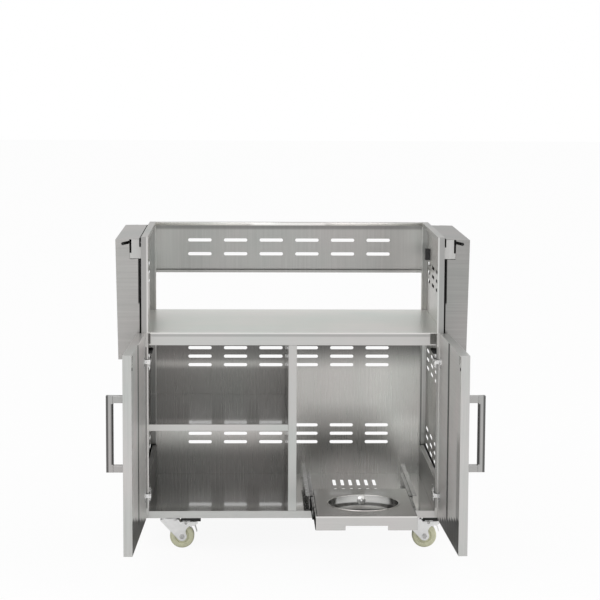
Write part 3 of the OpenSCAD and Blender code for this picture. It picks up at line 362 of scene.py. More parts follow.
def brushed_metal(color, roughness, contrast, fineness=1.0, anisotropy=0.8, coat=0.0, metallic=1.0,
                  patches=()):
    """Brushed sheet: bands, lines and scratches along the grain map's U in tone, roughness and height, soft
    clouds in tone and tinge, lighter and darker patches, a slow waviness of the sheet and highlights drawn
    out across the grain."""
    made, tree = new_material()
    uv = add_node(tree, "ShaderNodeUVMap", uv_map=GRAIN_MAP).outputs["UV"]
    place = object_place(tree)
    pitch = steel().grain_pitch * fineness
    bands = brush_lines(tree, uv, pitch, length=220, width=4, detail=4.0)
    lines = brush_lines(tree, uv, pitch, length=90, width=1, detail=3.0)
    scratches = brush_lines(tree, uv, pitch, length=25, width=0.25, detail=2.0)
    clouds = even_noise(tree, place, 4)
    waves = even_noise(tree, place, 3.2, 1.0)
    grain = multiply(tree, around(tree, bands, 1, contrast), around(tree, lines, 1, contrast * 0.8))
    tone = multiply(tree, grain, around(tree, clouds, 1, contrast * 0.7))
    tint = add_node(tree, "ShaderNodeMix", {
        "Factor": spread(tree, clouds, 0.0, 1.0), "A": tinged(color, COOL_TINGE),
        "B": tinged(color, WARM_TINGE)}, data_type="RGBA")
    tangent = add_node(tree, "ShaderNodeTangent", direction_type="UV_MAP", uv_map=GRAIN_MAP)
    wavy = add_node(tree, "ShaderNodeBump", {"Strength": 0.15, "Distance": 0.004, "Height": waves})
    scratched = add_node(tree, "ShaderNodeBump", {
        "Strength": 0.035, "Distance": 0.0002, "Height": scratches, "Normal": wavy.outputs["Normal"]})
    add_surface(tree, {
        "Base Color": tinted(tree, tint.outputs["Result"], shaded(tree, place, tone, patches)),
        "Roughness": multiply(tree, around(tree, bands, roughness, 0.04), around(tree, lines, 1, 0.03)),
        "Metallic": metallic, "Specular Tint": (0.75, 0.75, 0.75, 1), "Anisotropic": anisotropy,
        "Anisotropic Rotation": ACROSS_GRAIN, "Coat Weight": coat, "Coat Roughness": 0.05,
        "Coat IOR": 1.8, "Tangent": tangent.outputs["Tangent"], "Normal": scratched.outputs["Normal"]})
    return made


def plated_metal(color, roughness, mottling=0.1, patches=()):
    """Zinc plate or plated steel: a mottled tone and roughness, lighter and darker patches and a slightly
    dimpled surface."""
    made, tree = new_material()
    place = object_place(tree)
    mottle = even_noise(tree, place, 90)
    tone = shaded(tree, place, around(tree, mottle, 1, mottling), patches)
    dimples = add_node(tree, "ShaderNodeBump", {
        "Strength": 0.15, "Distance": 0.0002, "Height": even_noise(tree, place, 900, 2.0)})
    add_surface(tree, {
        "Base Color": tinted(tree, color, tone), "Metallic": 1.0,
        "Roughness": spread(tree, mottle, roughness * 0.8, roughness * 1.3),
        "Normal": dimples.outputs["Normal"]})
    return made


def moulded_plastic(color, roughness):
    """Moulded plastic or rubber: a fine pebbled skin with a slightly uneven tone."""
    made, tree = new_material()
    place = object_place(tree)
    clouds = even_noise(tree, place, 60)
    pebbles = add_node(tree, "ShaderNodeBump", {
        "Strength": 0.25, "Distance": 0.0001, "Height": even_noise(tree, place, 1400, 2.0)})
    add_surface(tree, {
        "Base Color": tinted(tree, color, spread(tree, clouds, 0.9, 1.08)),
        "Roughness": spread(tree, clouds, roughness * 0.9, roughness * 1.12),
        "Normal": pebbles.outputs["Normal"]})
    return made


# Spans that the patches share: low end, high end and fade
RIGHT_HALF = (0.0, WIDE, 0.004)
LEFT_HALF = (-WIDE, 0.0, 0.004)
BELOW_DECK = (FLOOR_TOP + 0.007, DECK_LOW.z - 0.0035, 0.004)
ABOVE_DECK = (DECK_TOP - 0.002, WIDE, 0.002)
PANEL_GAP = (POST_OUT - 0.002, POST_OUT + 0.007, 0.0008)


def from_front(low, high, fade):
    """A span along Y that is measured from the cabinet's front."""
    return CABINET_FRONT + low, CABINET_FRONT + high, fade


def panel_steel():
    """Outer faces of the panels, skirts and rails."""
    return brushed_metal(steel().panel_color, steel().panel_roughness, contrast=0.08)


def deck_steel():
    """The deck's top, a lighter copy of the panels' steel: painted light."""
    return brushed_metal(steel().deck_color, steel().panel_roughness, contrast=0.03)


def lip_steel():
    """Front flanges, a lighter copy of the panels' steel as painted light: a painted highlight along the
    deck's fold over a painted shade, a painted highlight along the tray, a painted shade on the outer and a
    painted highlight on the inner edge of each post, and dark joints beside the deck."""
    deck = (-POST_IN, POST_IN, 0.001)
    return brushed_metal(steel().lip_color, steel().panel_roughness, contrast=0.02, patches=[
        patch(1.45, x=deck, z=(DECK_TOP - 0.003, DECK_TOP + 0.003, 0.001)),
        patch(0.74, x=deck, z=(DECK_TOP - 0.014, DECK_TOP - 0.003, 0.004)),
        patch(1.3, y=(TRAY_LOW.y - 0.01, TRAY_LOW.y + 0.01, 0.001),
              z=(TRAY_HIGH.z - 0.005, TRAY_HIGH.z + 0.01, 0.001)),
        *both_sides(0.70, (POST_IN + 0.0045, POST_OUT + 0.003, 0.001), z=ABOVE_DECK),
        *both_sides(1.25, (POST_IN - 0.001, POST_IN + 0.0042, 0.0008), z=ABOVE_DECK),
        patch(0.5, x=(-POST_OUT - 0.003, -POST_IN - 0.0035, 0.001), z=BELOW_DECK),
        patch(1.2, x=(-POST_IN - 0.0035, -POST_IN + 0.0015, 0.0008), z=BELOW_DECK),
        patch(0.6, x=(POST_IN - 0.0015, POST_IN + 0.0065, 0.001), z=BELOW_DECK),
        patch(1.2, x=(POST_IN + 0.0065, POST_IN + 0.0105, 0.0008), z=BELOW_DECK),
        *both_sides(0.5, (POST_IN - 0.0045, POST_IN + 0.0005, 0.0015),
                    z=(DECK_LOW.z - 0.0065, DECK_TOP - 0.002, 0.002))])


def mill_steel():
    """Undersides as they come from the mill."""
    return plated_metal(steel().mill_color, roughness=0.5)


def bay_steel():
    """The rear panel in the bays, with painted light and shade: painted shade under the deck and low in the
    tank bay, where painted light lies beside the side wall; painted shade over the left bays, with a painted
    light band over the middle shelf."""
    return brushed_metal(steel().bay_color, roughness=0.28, contrast=0.012, fineness=0.7, patches=[
        patch(0.28, x=RIGHT_HALF, z=(SHELF_TOP + 0.07, DECK_TOP + 0.1, 0.095)),
        patch(0.85, x=(0.0, TRAY_HIGH.x - 0.001, 0.1), z=(FLOOR_TOP - 0.028, SHELF_TOP - 0.02, 0.05)),
        patch(0.85, x=(0.0, TRAY_HIGH.x - 0.031, 0.12)),
        patch(1.3, x=(TRAY_HIGH.x - 0.051, POST_OUT + 0.043, 0.06),
              z=(FLOOR_TOP + 0.022, SHELF_TOP - 0.05, 0.06)),
        patch(0.42, x=LEFT_HALF, z=(SHELF_TOP - 0.01, DECK_TOP + 0.1, 0.001)),
        patch(1.6, x=LEFT_HALF, z=(SHELF_TOP + 0.08, SHELF_TOP + 0.12, 0.019)),
        patch(0.62, x=LEFT_HALF, z=(SHELF_TOP + 0.10, DECK_TOP + 0.1, 0.05)),
        patch(0.34, x=LEFT_HALF, z=(0.0, SHELF_TOP - 0.1, 0.12))])


def wall_steel():
    """The side walls in the bays, a lighter copy of the panels' steel as painted light, with a painted shade
    behind the posts.
    """
    return brushed_metal(steel().bay_color, roughness=0.28, contrast=0.03, patches=[
        patch(0.45, y=from_front(-0.01, 0.12, 0.10), z=(FLOOR_TOP - 0.028, DECK_LOW.z - 0.0015, 0.02))])


def end_steel():
    """The side shelves, the right one darker than the left, with painted shade in the gap to the panels at
    their ends and a wider painted shade lower down there.
    """
    return brushed_metal(steel().panel_color, steel().panel_roughness, contrast=0.06, patches=[
        patch(0.78, x=RIGHT_HALF),
        patch(0.92, x=LEFT_HALF),
        *both_sides(0.03, PANEL_GAP),
        *both_sides(0.10, (POST_OUT - 0.002, POST_OUT + 0.0105, 0.0008),
                    z=(SIDE_SHELF_TOP - 0.2, SIDE_SHELF_TOP - 0.03, 0.01))])


def rail_steel():
    """The rear rail: a painted shadow under its hem, and painted light on its ends."""
    return brushed_metal(steel().panel_color, steel().panel_roughness, contrast=0.05, patches=[
        patch(0.6, z=(RAIL_TOP - 0.028, RAIL_TOP - 0.005, 0.008)),
        *both_sides(1.3, (POST_OUT - 0.137, POST_OUT + 0.043, 0.12))])


def ring_steel():
    """The tank ring, with painted shade at its two sides and along its foot."""
    return brushed_metal(steel().ring_color, steel().sheet_roughness * 0.7, contrast=0.07, anisotropy=0.5,
                         patches=[patch(0.6, x=(RING_HIGH.x - 0.045, RING_HIGH.x, 0.03)),
                                  patch(0.6, x=(RING_LOW.x, RING_LOW.x + 0.045, 0.03)),
                                  patch(0.45, z=(RING_LOW.z - 0.01, RING_LOW.z + 0.009, 0.005))])


def edge_steel():
    """Rolled and folded edges, lighter than the sheets beside them as a painted highlight."""
    return brushed_metal(steel().liner_color, steel().sheet_roughness, contrast=0.03)


def door_steel():
    """The doors' outer skins."""
    return brushed_metal(steel().lip_color, steel().panel_roughness, contrast=0.05)


def tray_steel():
    """The tank tray and the divider."""
    return brushed_metal(steel().tray_color, steel().sheet_roughness, contrast=0.015, anisotropy=0.9,
                         coat=0.3)


def shelf_steel():
    """The floor and the middle shelf, polished, a darker copy of the steel as painted shade, with painted
    light along the front.
    """
    return brushed_metal(steel().shelf_color, steel().sheet_roughness * 0.7, contrast=0.04, anisotropy=0.95,
                         coat=0.9, patches=[patch(2.8, y=from_front(-0.01, 0.14, 0.12))])


def liner_steel():
    """The doors' liners, with painted reflections: a painted dark line down each, painted light on the lower
    half and painted shade on the upper, a painted dark outer edge on the right, and a painted dark wedge at
    the bottom that rises from the hinges to the free edge, in slices."""
    line_height = (DOOR_BOTTOM + 0.037, WIDE, 0.01)
    middle = DOOR_BOTTOM + 0.377
    slice_width, slice_fade, wedge_start, wedge_slope = 0.05, 0.003, 0.114, 0.235
    # The wedge is a painted dark reflection of the shade under the cart
    slices = [patch(0.12, y=from_front(-out - slice_width - slice_fade, -out, slice_fade),
                    z=(0.0, wedge_start + wedge_slope * out, 0.012))
              for out in np.arange(0.0, 0.45, slice_width)]
    patches = [patch(0.1, x=RIGHT_HALF, y=from_front(-0.224, -0.188, 0.006), z=line_height),
               patch(0.1, x=LEFT_HALF, y=from_front(-0.264, -0.228, 0.006), z=line_height),
               patch(0.9, z=(middle, middle + 0.52, 0.18)),
               patch(1.1, z=(middle - 0.43, middle, 0.12)),
               patch(0.6, x=RIGHT_HALF, y=from_front(-0.5, -0.38, 0.02),
                     z=(middle - 0.33, middle - 0.02, 0.06))]
    return brushed_metal(steel().liner_color, roughness=0.45, contrast=0.03, anisotropy=0.3, metallic=0.72,
                         patches=patches + slices)


def bar_steel():
    """The handles, with painted shade on the outer edge and in the hollow between the legs."""
    # Painted shade on the outer edge and in the hollow
    edge = both_sides(0.30, (HANDLE_HIGH.x - 0.0075, HANDLE_HIGH.x + 0.002, 0.002))
    hollow = both_sides(0.14, (HANDLE_HIGH.x - 0.027, HANDLE_HIGH.x - 0.012, 0.006),
                        z=(HANDLE_LOW.z + 0.022, HANDLE_HIGH.z - 0.022, 0.001))
    return brushed_metal(steel().handle_color, steel().sheet_roughness, contrast=0.03, fineness=0.5,
                         patches=edge + hollow)


def bracket_steel():
    """The side shelves' brackets, with painted shade, near black, in the gap to the panels and past the
    pins.
    """
    return brushed_metal(steel().lip_color, steel().panel_roughness, contrast=0.03, patches=[
        *both_sides(0.02, PANEL_GAP, z=(RAIL_TOP - 0.033, WIDE, 0.002)),
        *both_sides(0.02, (POST_OUT + 0.035, WIDE, 0.0005))])


def beside_tray(gap):
    """The places at a distance from the tray's two sides."""
    return TRAY_LOW.x - gap, TRAY_HIGH.x + gap


def slide_zinc():
    """The slides: dark screw heads, painted shade in the grooves beside the tray, and painted highlights on
    the front ends.
    """
    screw_places, screw_gap, half_width, half_length = (-0.20, -0.09, 0.02, 0.08), 0.0035, 0.005, 0.012
    groove_gaps, half_groove = (0.002, 0.0062), 0.0016
    screws = [patch(0.03, x=(x - half_width, x + half_width, 0.002),
                    y=from_front(y - half_length, y + half_length, 0.002))
              for x in beside_tray(screw_gap) for y in screw_places]
    grooves = [patch(0.12, x=(x - half_groove, x + half_groove, 0.0006)) for gap in groove_gaps
               for x in beside_tray(gap)]
    ends = patch(2.4, y=(TRAY_LOW.y - 0.01, TRAY_LOW.y + 0.035, 0.004))
    return plated_metal(steel().slide_color, roughness=0.22, mottling=0.6, patches=[*screws, *grooves, ends])


def hinge_zinc():
    """The hinges."""
    return plated_metal(steel().zinc_color, roughness=0.25, mottling=0.6)


def zinc_skin():
    """The casters and the tank screw's boss and tip."""
    return plated_metal(steel().zinc_color, roughness=0.36, mottling=0.05)


def bolt_steel():
    """Screws, bolts, axles and strikers."""
    return plated_metal(steel().bolt_color, roughness=0.22, mottling=0.4)


def wheel_plastic():
    """The wheels."""
    return moulded_plastic(bpy.context.scene.cart_soft.tread_color, roughness=0.38)


def black_moulding():
    """Clips, dampers, magnets, bumpers and pedal pads."""
    return moulded_plastic(bpy.context.scene.cart_soft.black_color, roughness=0.45)


def gap_black():
    """The shelf pins, black, and painted shade, near black, on the shelves' faces in the deep gap behind
    them.
    """
    return moulded_plastic(bpy.context.scene.cart_soft.black_color, roughness=0.8)


def material(finish):
    """The material of a finish, made when it is first asked for. Its name differs from those of the
    record's plain slots, which the frame brings along."""
    found = bpy.data.materials.get(finish.__name__)
    if found:
        return found
    made = finish()
    made.name = finish.__name__
    return made


def read_out(items, attribute, width=1, kind=float):
    """The values of an attribute of all items: one array, or one row for each item where width is over 1."""
    values = np.empty(len(items) * width, kind)
    items.foreach_get(attribute, values)
    return values.reshape(-1, width) if width > 1 else values


def write_grain(mesh, uv):
    """Writes the grain map from a U and a V for each corner of the faces."""
    layer = mesh.uv_layers.new(name=GRAIN_MAP)
    layer.data.foreach_set("uv", uv.astype(np.float32).ravel())


def map_grain(mesh, grain):
    """Lays the grain on a mesh: on each face U runs along the grain direction laid into the face, and V
    across it, both in metres. A face square to the grain takes the next axis instead."""
    normals = read_out(mesh.polygons, "normal", 3)
    totals = read_out(mesh.polygons, "loop_total", kind=int)
    at = read_out(mesh.vertices, "co", 3)[read_out(mesh.loops, "vertex_index", kind=int)]
    along = np.tile(np.array(AXES[grain], float), (len(normals), 1))
    turned = np.roll(along, 1, axis=1)
    end_on = np.abs((normals * along).sum(1)) > SQUARE_ON
    along[end_on] = turned[end_on]
    along -= normals * (normals * along).sum(1)[:, None]
    along /= np.maximum(np.linalg.norm(along, axis=1), 1e-9)[:, None]
    side = np.cross(normals, along)
    uv = [(at * np.repeat(direction, totals, 0)).sum(1) for direction in (along, side)]
    write_grain(mesh, np.stack(uv, 1))


def place_piece(obj, finish, body, nodes=()):
    """Links a finished piece, gives it its material and its body, and lets it stand for its nodes."""
    bpy.context.scene.collection.objects.link(obj)
    obj.data.materials.append(material(finish))
    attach(obj, body)
    if nodes:
        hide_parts(*nodes)
    return obj


def softened(node, finish, grain="Z", radius=None, suffix="_sheet"):
    """A copy of a node with its triangles merged into whole faces and every edge rounded."""
    mesh = bpy.data.meshes.new(node + suffix)
    work = bmesh.new()
    work.from_mesh(frame["nodes"][node].data)
    bmesh.ops.remove_doubles(work, verts=work.verts, dist=2e-6)
    bmesh.ops.dissolve_limit(work, angle_limit=math.radians(0.4), verts=work.verts, edges=work.edges,
                             use_dissolve_boundaries=False)
    work.to_mesh(mesh)
    work.free()
    mesh.polygons.foreach_set("use_smooth", np.ones(len(mesh.polygons), bool))
    map_grain(mesh, grain)
    obj = bpy.data.objects.new(node + suffix, mesh)
    bevel = obj.modifiers.new("edges", "BEVEL")
    bevel.width = radius or steel().fold_radius
    bevel.segments = 2
    bevel.limit_method = "ANGLE"
    bevel.angle_limit = math.radians(35)
    bevel.use_clamp_overlap = True
    normals = obj.modifiers.new("flat faces", "WEIGHTED_NORMAL")
    normals.weight = 100
    return place_piece(obj, finish, BODY_OF[node], [node])


def rounded(corners, steps=4):
    """A closed profile with rounded corners. Each corner is a point and a length; the corner becomes the
    parabola that leaves one side and meets the other at that length from the corner."""
    corners = np.array(corners, float)
    middle, cut = corners[:, :2], corners[:, 2:]
    before, after = np.roll(middle, 1, 0) - middle, np.roll(middle, -1, 0) - middle
    start = middle + cut * before / np.linalg.norm(before, axis=1)[:, None]
    end = middle + cut * after / np.linalg.norm(after, axis=1)[:, None]
    t = np.linspace(0, 1, steps)[None, :, None]
    curve = (1 - t) ** 2 * start[:, None] + 2 * t * (1 - t) * middle[:, None] + t ** 2 * end[:, None]
    return curve.reshape(-1, 2)


def rounded_bar(near, low, width, height, cut):
    """The profile of a flat bar from its near and low corner, with rounded corners."""
    far, high = near + width, low + height
    return rounded([(near, low, cut), (far, low, cut), (far, high, cut), (near, high, cut)])


def profile_length(profile):
    """The length along a profile from its first point to each of its points."""
    return np.cumsum(np.linalg.norm(np.diff(profile, axis=0, prepend=profile[:1]), axis=1))


def woven(name, points, uv, finish, body, nodes=()):
    """A closed surface over a grid of points, row by row, that meets itself along both directions."""
    rows, columns = points.shape[:2]
    row, column = np.meshgrid(np.arange(rows), np.arange(columns), indexing="ij")
    over, beside = (row + 1) % rows, (column + 1) % columns
    faces = np.stack([row * columns + column, row * columns + beside, over * columns + beside,
                      over * columns + column], -1).reshape(-1, 4)
    mesh = bpy.data.meshes.new(name)
    mesh.from_pydata(points.reshape(-1, 3).tolist(), [], faces.tolist())
    work = bmesh.new()
    work.from_mesh(mesh)
    bmesh.ops.recalc_face_normals(work, faces=work.faces)
    work.to_mesh(mesh)
    work.free()
    mesh.polygons.foreach_set("use_smooth", np.ones(len(mesh.polygons), bool))
    write_grain(mesh, uv.reshape(-1, 2)[read_out(mesh.loops, "vertex_index", kind=int)])
    return place_piece(bpy.data.objects.new(name, mesh), finish, body, nodes)


def revolved(name, profile, middle, axis, finish, body, nodes=(), count=72):
    """A profile of radii and heights turned about an axis through a middle point: each point goes round at
    its radius, at its height along the axis. The grain runs round the axis."""
    angle = np.linspace(0, 2 * math.pi, count, endpoint=False)[:, None]
    radius, height = profile[:, 0], profile[:, 1]
    along = np.array(AXES[axis], float)
    first, second = np.roll(along, 1), np.roll(along, 2)
    points = (np.array(middle) + (radius * np.cos(angle))[..., None] * first
              + (radius * np.sin(angle))[..., None] * second
              + (height * np.ones_like(angle))[..., None] * along)
    around_axis = np.abs(angle - math.pi) * radius.mean()
    uv = np.stack(np.broadcast_arrays(around_axis, profile_length(profile)), -1)
    return woven(name, points, uv, finish, body, nodes)


def carried(name, profile, start, end, finish, body):
    """A profile of Y and Z carried along X from a start to an end, where it closes to its middle. The grain
    runs along X."""
    middle = profile.mean(0)
    x, scale = np.array([(start, 0.0), (start, 1.0), (end, 1.0), (end, 0.0)]).T
    x = x[:, None] * np.ones(len(profile))
    points = np.concatenate([x[..., None], middle + scale[:, None, None] * (profile - middle)], -1)
    uv = np.stack(np.broadcast_arrays(x, profile_length(profile)), -1)
    return woven(name, points, uv, finish, body)


def refinish(obj, finish, direction, low=(-WIDE, -WIDE, -WIDE), high=(WIDE, WIDE, WIDE)):
    """Gives the faces that look along a direction, or all faces where it is None, between two corners
    another finish."""
    mesh = obj.data
    centers = read_out(mesh.polygons, "center", 3)
    chosen = ((centers >= low) & (centers <= high)).all(1)
    if direction:
        chosen &= read_out(mesh.polygons, "normal", 3) @ np.array(direction, float) > FACING
    slots = read_out(mesh.polygons, "material_index", kind=int)
    slots[chosen] = len(mesh.materials)
    mesh.materials.append(material(finish))
    mesh.polygons.foreach_set("material_index", slots)


FRONT, UNDERSIDE = (0, -1, 0), (0, 0, -1)


class CART_OT_cabinet(bpy.types.Operator):
    """Finishes the fixed sheets of the cabinet"""

    bl_idname = "cart.cabinet"
    bl_label = "Cabinet Sheets"

    def execute(self, context):
        for side, sign in SIDES.items():
            panel = softened("side_panel_" + side, panel_steel, "Z")
            # Inner faces and front faces take lighter copies of the panels' steel: painted light.
            refinish(panel, wall_steel, (-sign, 0, 0))
            refinish(panel, lip_steel, FRONT)
        softened("rear_rail", rail_steel, "Z")
        self.fold_hem(context.scene.cart_trim)
        refinish(softened("rear_panel", panel_steel, "Z"), bay_steel, FRONT)
        refinish(softened("divider", tray_steel, "Z"), lip_steel, FRONT)
        deck = softened("deck", deck_steel, "X", steel().shelf_fold_radius)
        refinish(deck, lip_steel, FRONT)
        refinish(deck, mill_steel, UNDERSIDE)
        for node in ("floor_pan", "middle_shelf"):
            sheet = softened(node, shelf_steel, "X", steel().shelf_fold_radius)
            refinish(sheet, mill_steel, UNDERSIDE)
            refinish(sheet, lip_steel, FRONT)
        for node in ("wall_skirts", "caster_rails"):
            softened(node, panel_steel, "Y")
        return {"FINISHED"}

    def fold_hem(self, trim):
        """Makes the hem on the front of the rail, a little below its top and short of its ends."""
        low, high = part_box("rear_rail")
        proud, drop, short, cut = 0.0002, 0.0005, 0.002, 0.0006
        hem = rounded_bar(low.y - proud, high.z - drop - trim.hem_height, trim.hem_thickness,
                          trim.hem_height, cut)
        carried("rail_hem", hem, low.x + short, high.x - short, edge_steel, BODY_OF["rear_rail"])


class CART_OT_doors(bpy.types.Operator):
    """Finishes the skins and liners of the doors"""

    bl_idname = "cart.doors"
    bl_label = "Doors"

    def execute(self, context):
        for side in SIDES:
            softened("door_skin_" + side, door_steel, "Z")
            softened("door_liner_" + side, liner_steel, "Y")
            softened("door_handle_" + side, bar_steel, "Z", suffix="_bar")
            softened("door_striker_" + side, bolt_steel)
            softened("door_bumpers_" + side, black_moulding)
        return {"FINISHED"}


class CART_OT_hinges(bpy.types.Operator):
    """Finishes the hinges, their dampers, the door magnets and the hose clip"""

    bl_idname = "cart.hinges"
    bl_label = "Hinges"

    def execute(self, context):
        for node in ("hinge_arms", "hinge_cups_left", "hinge_cups_right"):
            softened(node, hinge_zinc)
        for node in ("door_dampers", "door_magnets", "hose_clip"):
            softened(node, black_moulding)
        return {"FINISHED"}


# Corners of the turned pieces: radius, place along the axis and length of the rounding
BOSS_CORNERS = ((0.0052, 0.0005, 0.0001), (0.0145, 0.0005, 0.0001), (0.0085, -0.0045, 0.003),
                (0.0052, -0.0055, 0.0005))
TIP_CORNERS = ((HAIR, -0.0105, HAIR / 2), (0.0042, -0.0095, 0.0025), (0.0050, -0.002, 0.001),
               (HAIR, -0.002, HAIR / 2))
WHEEL_CORNERS = ((0.0052, 0.0165, 0.0003), (0.0125, 0.0165, 0.001), (0.0140, 0.0122, 0.0012),
                 (0.0205, 0.0118, 0.0008), (0.0222, 0.0150, 0.0008), (0.0335, 0.0150, 0.0015),
                 (0.0375, 0.0118, 0.003))


class CART_OT_tray(bpy.types.Operator):
    """Finishes the tank tray, its ring, screw and slides"""

    bl_idname = "cart.tray"
    bl_label = "Tank Tray"

    def execute(self, context):
        refinish(softened("tank_tray", tray_steel, "X", steel().tray_fold_radius), lip_steel, FRONT)
        softened("tank_ring", ring_steel, "X")
        self.turn_trim(context.scene.cart_trim)
        softened("tank_screw", bolt_steel)
        for part in ("brackets", "outer_members", "middle_members", "inner_members"):
            softened("slide_" + part, slide_zinc, "Y")
        return {"FINISHED"}

    def turn_trim(self, trim):
        """Makes the bead on the ring's edge, and the boss and the tip of the screw at the ring's back."""
        middle = (RING_LOW + RING_HIGH) / 2
        inside, sunk, cut = 0.0017, 0.0012, 0.0008
        ring = BODY_OF["tank_ring"]
        bead = rounded_bar(trim.ring_radius - inside, TRAY_HIGH.z - sunk, trim.bead_width,
                           trim.bead_height, cut)
        revolved("ring_bead", bead, (middle.x, middle.y, 0), "Z", edge_steel, ring, count=128)
        low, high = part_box("tank_screw")
        axis = (middle.x, middle.y + trim.ring_radius, (low.z + high.z) / 2)
        revolved("ring_boss", rounded(BOSS_CORNERS), axis, "Y", zinc_skin, ring, count=48)
        revolved("screw_tip", rounded(TIP_CORNERS), axis, "Y", zinc_skin, BODY_OF["tank_screw"], count=32)


class CART_OT_side_shelves(bpy.types.Operator):
    """Finishes the fold-down shelves and their brackets"""

    bl_idname = "cart.side_shelves"
    bl_label = "Side Shelves"

    def execute(self, context):
        for side, sign in SIDES.items():
            shelf = softened("side_shelf_" + side, end_steel, "X")
            near, far = sorted((sign * (POST_OUT - 0.007), sign * (POST_OUT + 0.023)))
            # Faces looking into the gap take painted shade
            refinish(shelf, gap_black, (-sign, 0, 0), (near, -WIDE, -WIDE), (far, WIDE, WIDE))
            softened("shelf_stiffener_" + side, panel_steel, "Y")
            softened("shelf_brackets_" + side, bracket_steel, "Z")
        softened("shelf_pins", gap_black)
        return {"FINISHED"}


class CART_OT_casters(bpy.types.Operator):
    """Finishes the casters and their brakes"""

    bl_idname = "cart.casters"
    bl_label = "Casters"

    def execute(self, context):
        softened("caster_plates", zinc_skin)
        softened("caster_bolts", bolt_steel)
        for side in SIDES:
            for end in ENDS:
                corner = end + "_" + side
                softened("fork_" + corner, zinc_skin)
                self.turn_wheel("wheel_" + corner)
                softened("axle_" + corner, bolt_steel)
            pedal = "brake_pedal_" + side
            pad_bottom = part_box(pedal)[1].z - 0.0106
            refinish(softened(pedal, zinc_skin), black_moulding, None, (-WIDE, -WIDE, pad_bottom))
            softened("pedal_pin_" + side, bolt_steel)
        return {"FINISHED"}

    def turn_wheel(self, node):
        """Makes a wheel: bore, hub face, groove, flat flank and rounded tread, and the same mirrored."""
        low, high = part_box(node)
        mirrored = [(radius, -place, cut) for radius, place, cut in reversed(WHEEL_CORNERS)]
        profile = rounded([*WHEEL_CORNERS, *mirrored])
        revolved(node + "_tread", profile, (low + high) / 2, "Y", wheel_plastic, BODY_OF[node], [node])


class CART_OT_fasteners(bpy.types.Operator):
    """Finishes the screws of the rear rail and panel"""

    bl_idname = "cart.fasteners"
    bl_label = "Fasteners"

    def execute(self, context):
        softened("rear_screws", bolt_steel)
        return {"FINISHED"}


def light_panel(name, power, size, place):
    """A large soft lamp that looks at the middle of the cart."""
    cart_middle = Vector((0, 0, 0.5))
    lamp = bpy.data.lights.new(name, "AREA")
    lamp.shape = "RECTANGLE"
    lamp.size, lamp.size_y = size
    lamp.energy = power
    obj = bpy.data.objects.new(name, lamp)
    obj.location = place
    obj.rotation_euler = (cart_middle - Vector(place)).to_track_quat("-Z", "Y").to_euler()
    bpy.context.scene.collection.objects.link(obj)


def seen_directly(tree, seen=1.0, mirrored=1.0):
    """A share for camera rays, another for glossy and transmission rays, and 0 for all others."""
    rays = add_node(tree, "ShaderNodeLightPath").outputs
    camera = multiply(tree, rays["Is Camera Ray"], seen)
    glossy = multiply(tree, rays["Is Glossy Ray"], mirrored)
    clear = multiply(tree, rays["Is Transmission Ray"], mirrored)
    return worked_out(tree, "MAXIMUM", worked_out(tree, "MAXIMUM", camera, glossy), clear)


def mixed(tree, share, first, second):
    """Two surface shaders mixed by a share of the second."""
    return add_node(tree, "ShaderNodeMixShader", {"Fac": share, 1: first, 2: second}).outputs["Shader"]


def make_world(stage):
    """An even sky for matt surfaces, plain white where it is seen or mirrored."""
    world = bpy.data.worlds.new("studio")
    world.use_nodes = True
    tree = world.node_tree
    tree.nodes.clear()
    sky = add_node(tree, "ShaderNodeBackground", {"Color": (1, 1, 1, 1), "Strength": stage.sky_light})
    white = add_node(tree, "ShaderNodeBackground", {"Color": (1, 1, 1, 1), "Strength": 1.0})
    surface = mixed(tree, seen_directly(tree), sky.outputs["Background"], white.outputs["Background"])
    add_node(tree, "ShaderNodeOutputWorld", {"Surface": surface})
    bpy.context.scene.world = world


def floor_paint(stage):
    """Matt floor paint that keeps the cart's shadow. Where it is seen or mirrored it is mostly plain white,
    and metal also mirrors a deep round painted shade under the cart."""
    paint, tree = new_material()
    paint.name = "floor_paint"
    place = object_place(tree)
    cloud = even_noise(tree, place, 0.6)
    matt = add_node(tree, "ShaderNodeBsdfPrincipled", {
        "Base Color": tinted(tree, stage.floor_color, around(tree, cloud, 1, 0.005)), "Roughness": 0.9,
        "Specular IOR Level": 0.1})
    white = add_node(tree, "ShaderNodeEmission", {"Color": (1, 1, 1, 1), "Strength": 1.0})
    black = add_node(tree, "ShaderNodeEmission", {"Strength": 0.0})
    spot = add_node(tree, "ShaderNodeMapping", {"Vector": place, "Location": (0, -stage.shade_middle, 0)})
    far = add_node(tree, "ShaderNodeVectorMath", {0: spot.outputs["Vector"]}, operation="LENGTH")
    fade = add_node(tree, "ShaderNodeMapRange", {
        "Value": far.outputs["Value"], "From Min": stage.shade_radius,
        "From Max": stage.shade_radius + stage.shade_fade, "To Min": stage.shade_depth, "To Max": 0.0})
    share = seen_directly(tree, stage.floor_white, stage.mirrored_white)
    shade = multiply(tree, fade.outputs["Result"], seen_directly(tree, 0.0, 1.0))
    lit = mixed(tree, share, matt.outputs["BSDF"], white.outputs["Emission"])
    surface = mixed(tree, shade, lit, black.outputs["Emission"])
    add_node(tree, "ShaderNodeOutputMaterial", {"Surface": surface})
    return paint


def make_floor(stage):
    """A wide flat floor."""
    half = stage.floor_size / 2
    corners = [(-half, -half, 0), (half, -half, 0), (half, half, 0), (-half, half, 0)]
    mesh = bpy.data.meshes.new("floor")
    mesh.from_pydata(corners, [], [(0, 1, 2, 3)])
    mesh.materials.append(floor_paint(stage))
    floor = bpy.data.objects.new("floor", mesh)
    bpy.context.scene.collection.objects.link(floor)


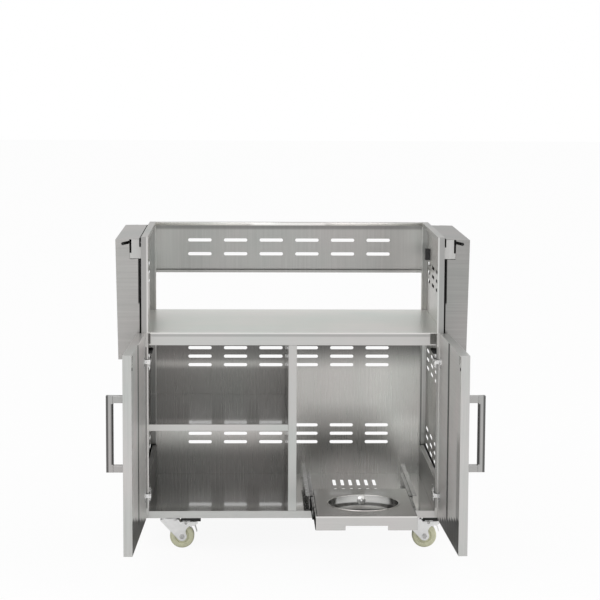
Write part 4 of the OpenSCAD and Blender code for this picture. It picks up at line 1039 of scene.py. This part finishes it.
def make_camera(stage):
    """The photograph's camera: turned right by its yaw, down by its pitch, then rolled."""
    yaw, pitch, roll = stage.camera_yaw, stage.camera_pitch, stage.camera_roll
    ahead = Vector((math.sin(yaw) * math.cos(pitch), math.cos(yaw) * math.cos(pitch), -math.sin(pitch)))
    flat = Vector((math.cos(yaw), -math.sin(yaw), 0))
    upright = flat.cross(ahead)
    right = flat * math.cos(roll) + upright * math.sin(roll)
    up = upright * math.cos(roll) - flat * math.sin(roll)
    place = Vector(stage.camera_place) + Vector((0, CABINET_FRONT, 0))
    data = bpy.data.cameras.new("camera")
    data.sensor_width = 36.0
    data.lens = stage.lens
    data.clip_end = 100.0
    camera = bpy.data.objects.new("camera", data)
    bpy.context.scene.collection.objects.link(camera)
    camera.matrix_world = Matrix(((right.x, up.x, -ahead.x, place.x), (right.y, up.y, -ahead.y, place.y),
                                  (right.z, up.z, -ahead.z, place.z), (0, 0, 0, 1)))
    bpy.context.scene.camera = camera


class CART_OT_stage(bpy.types.Operator):
    """Makes the floor, the light and the camera"""

    bl_idname = "cart.stage"
    bl_label = "Stage"

    def execute(self, context):
        stage = context.scene.cart_stage
        make_camera(stage)
        make_world(stage)
        make_floor(stage)
        light_panel("key", stage.key_power, size=(6.0, 5.0), place=(-3.6, -5.0, 4.6))
        light_panel("fill", stage.fill_power, size=(5.0, 4.0), place=(5.0, -3.0, 3.6))
        context.scene.view_settings.view_transform = "Standard"
        return {"FINISHED"}


class CART_PT_panel(bpy.types.Panel):
    """Lists the operators of the cart and their settings"""

    bl_idname = "CART_PT_panel"
    bl_label = "Grill Cart"
    bl_space_type = "VIEW_3D"
    bl_region_type = "UI"
    bl_category = "Grill Cart"

    def draw(self, context):
        for operator in OPERATORS:
            self.layout.operator(operator.bl_idname)
        for name in GROUPS:
            group = getattr(context.scene, name)
            box = self.layout.box()
            for setting in group.__annotations__:
                box.prop(group, setting)


OPERATORS = (CART_OT_stage, CART_OT_cabinet, CART_OT_doors, CART_OT_hinges, CART_OT_tray,
             CART_OT_side_shelves, CART_OT_casters, CART_OT_fasteners)
GROUPS = {"cart_steel": CartSteel, "cart_trim": CartTrim, "cart_soft": CartSoft, "cart_stage": CartStage}


def register():
    """Adds the classes and the settings to Blender."""
    for cls in (*GROUPS.values(), *OPERATORS, CART_PT_panel):
        bpy.utils.register_class(cls)
    for name, group in GROUPS.items():
        setattr(bpy.types.Scene, name, bpy.props.PointerProperty(type=group))


def unregister():
    """Takes the settings and the classes out again."""
    for name in GROUPS:
        delattr(bpy.types.Scene, name)
    for cls in (CART_PT_panel, *reversed(OPERATORS), *reversed(list(GROUPS.values()))):
        bpy.utils.unregister_class(cls)


def main():
    """Makes every piece in order."""
    register()
    for operator in OPERATORS:
        namespace, name = operator.bl_idname.split(".")
        getattr(getattr(bpy.ops, namespace), name)()


if __name__ == "__main__":
    main()
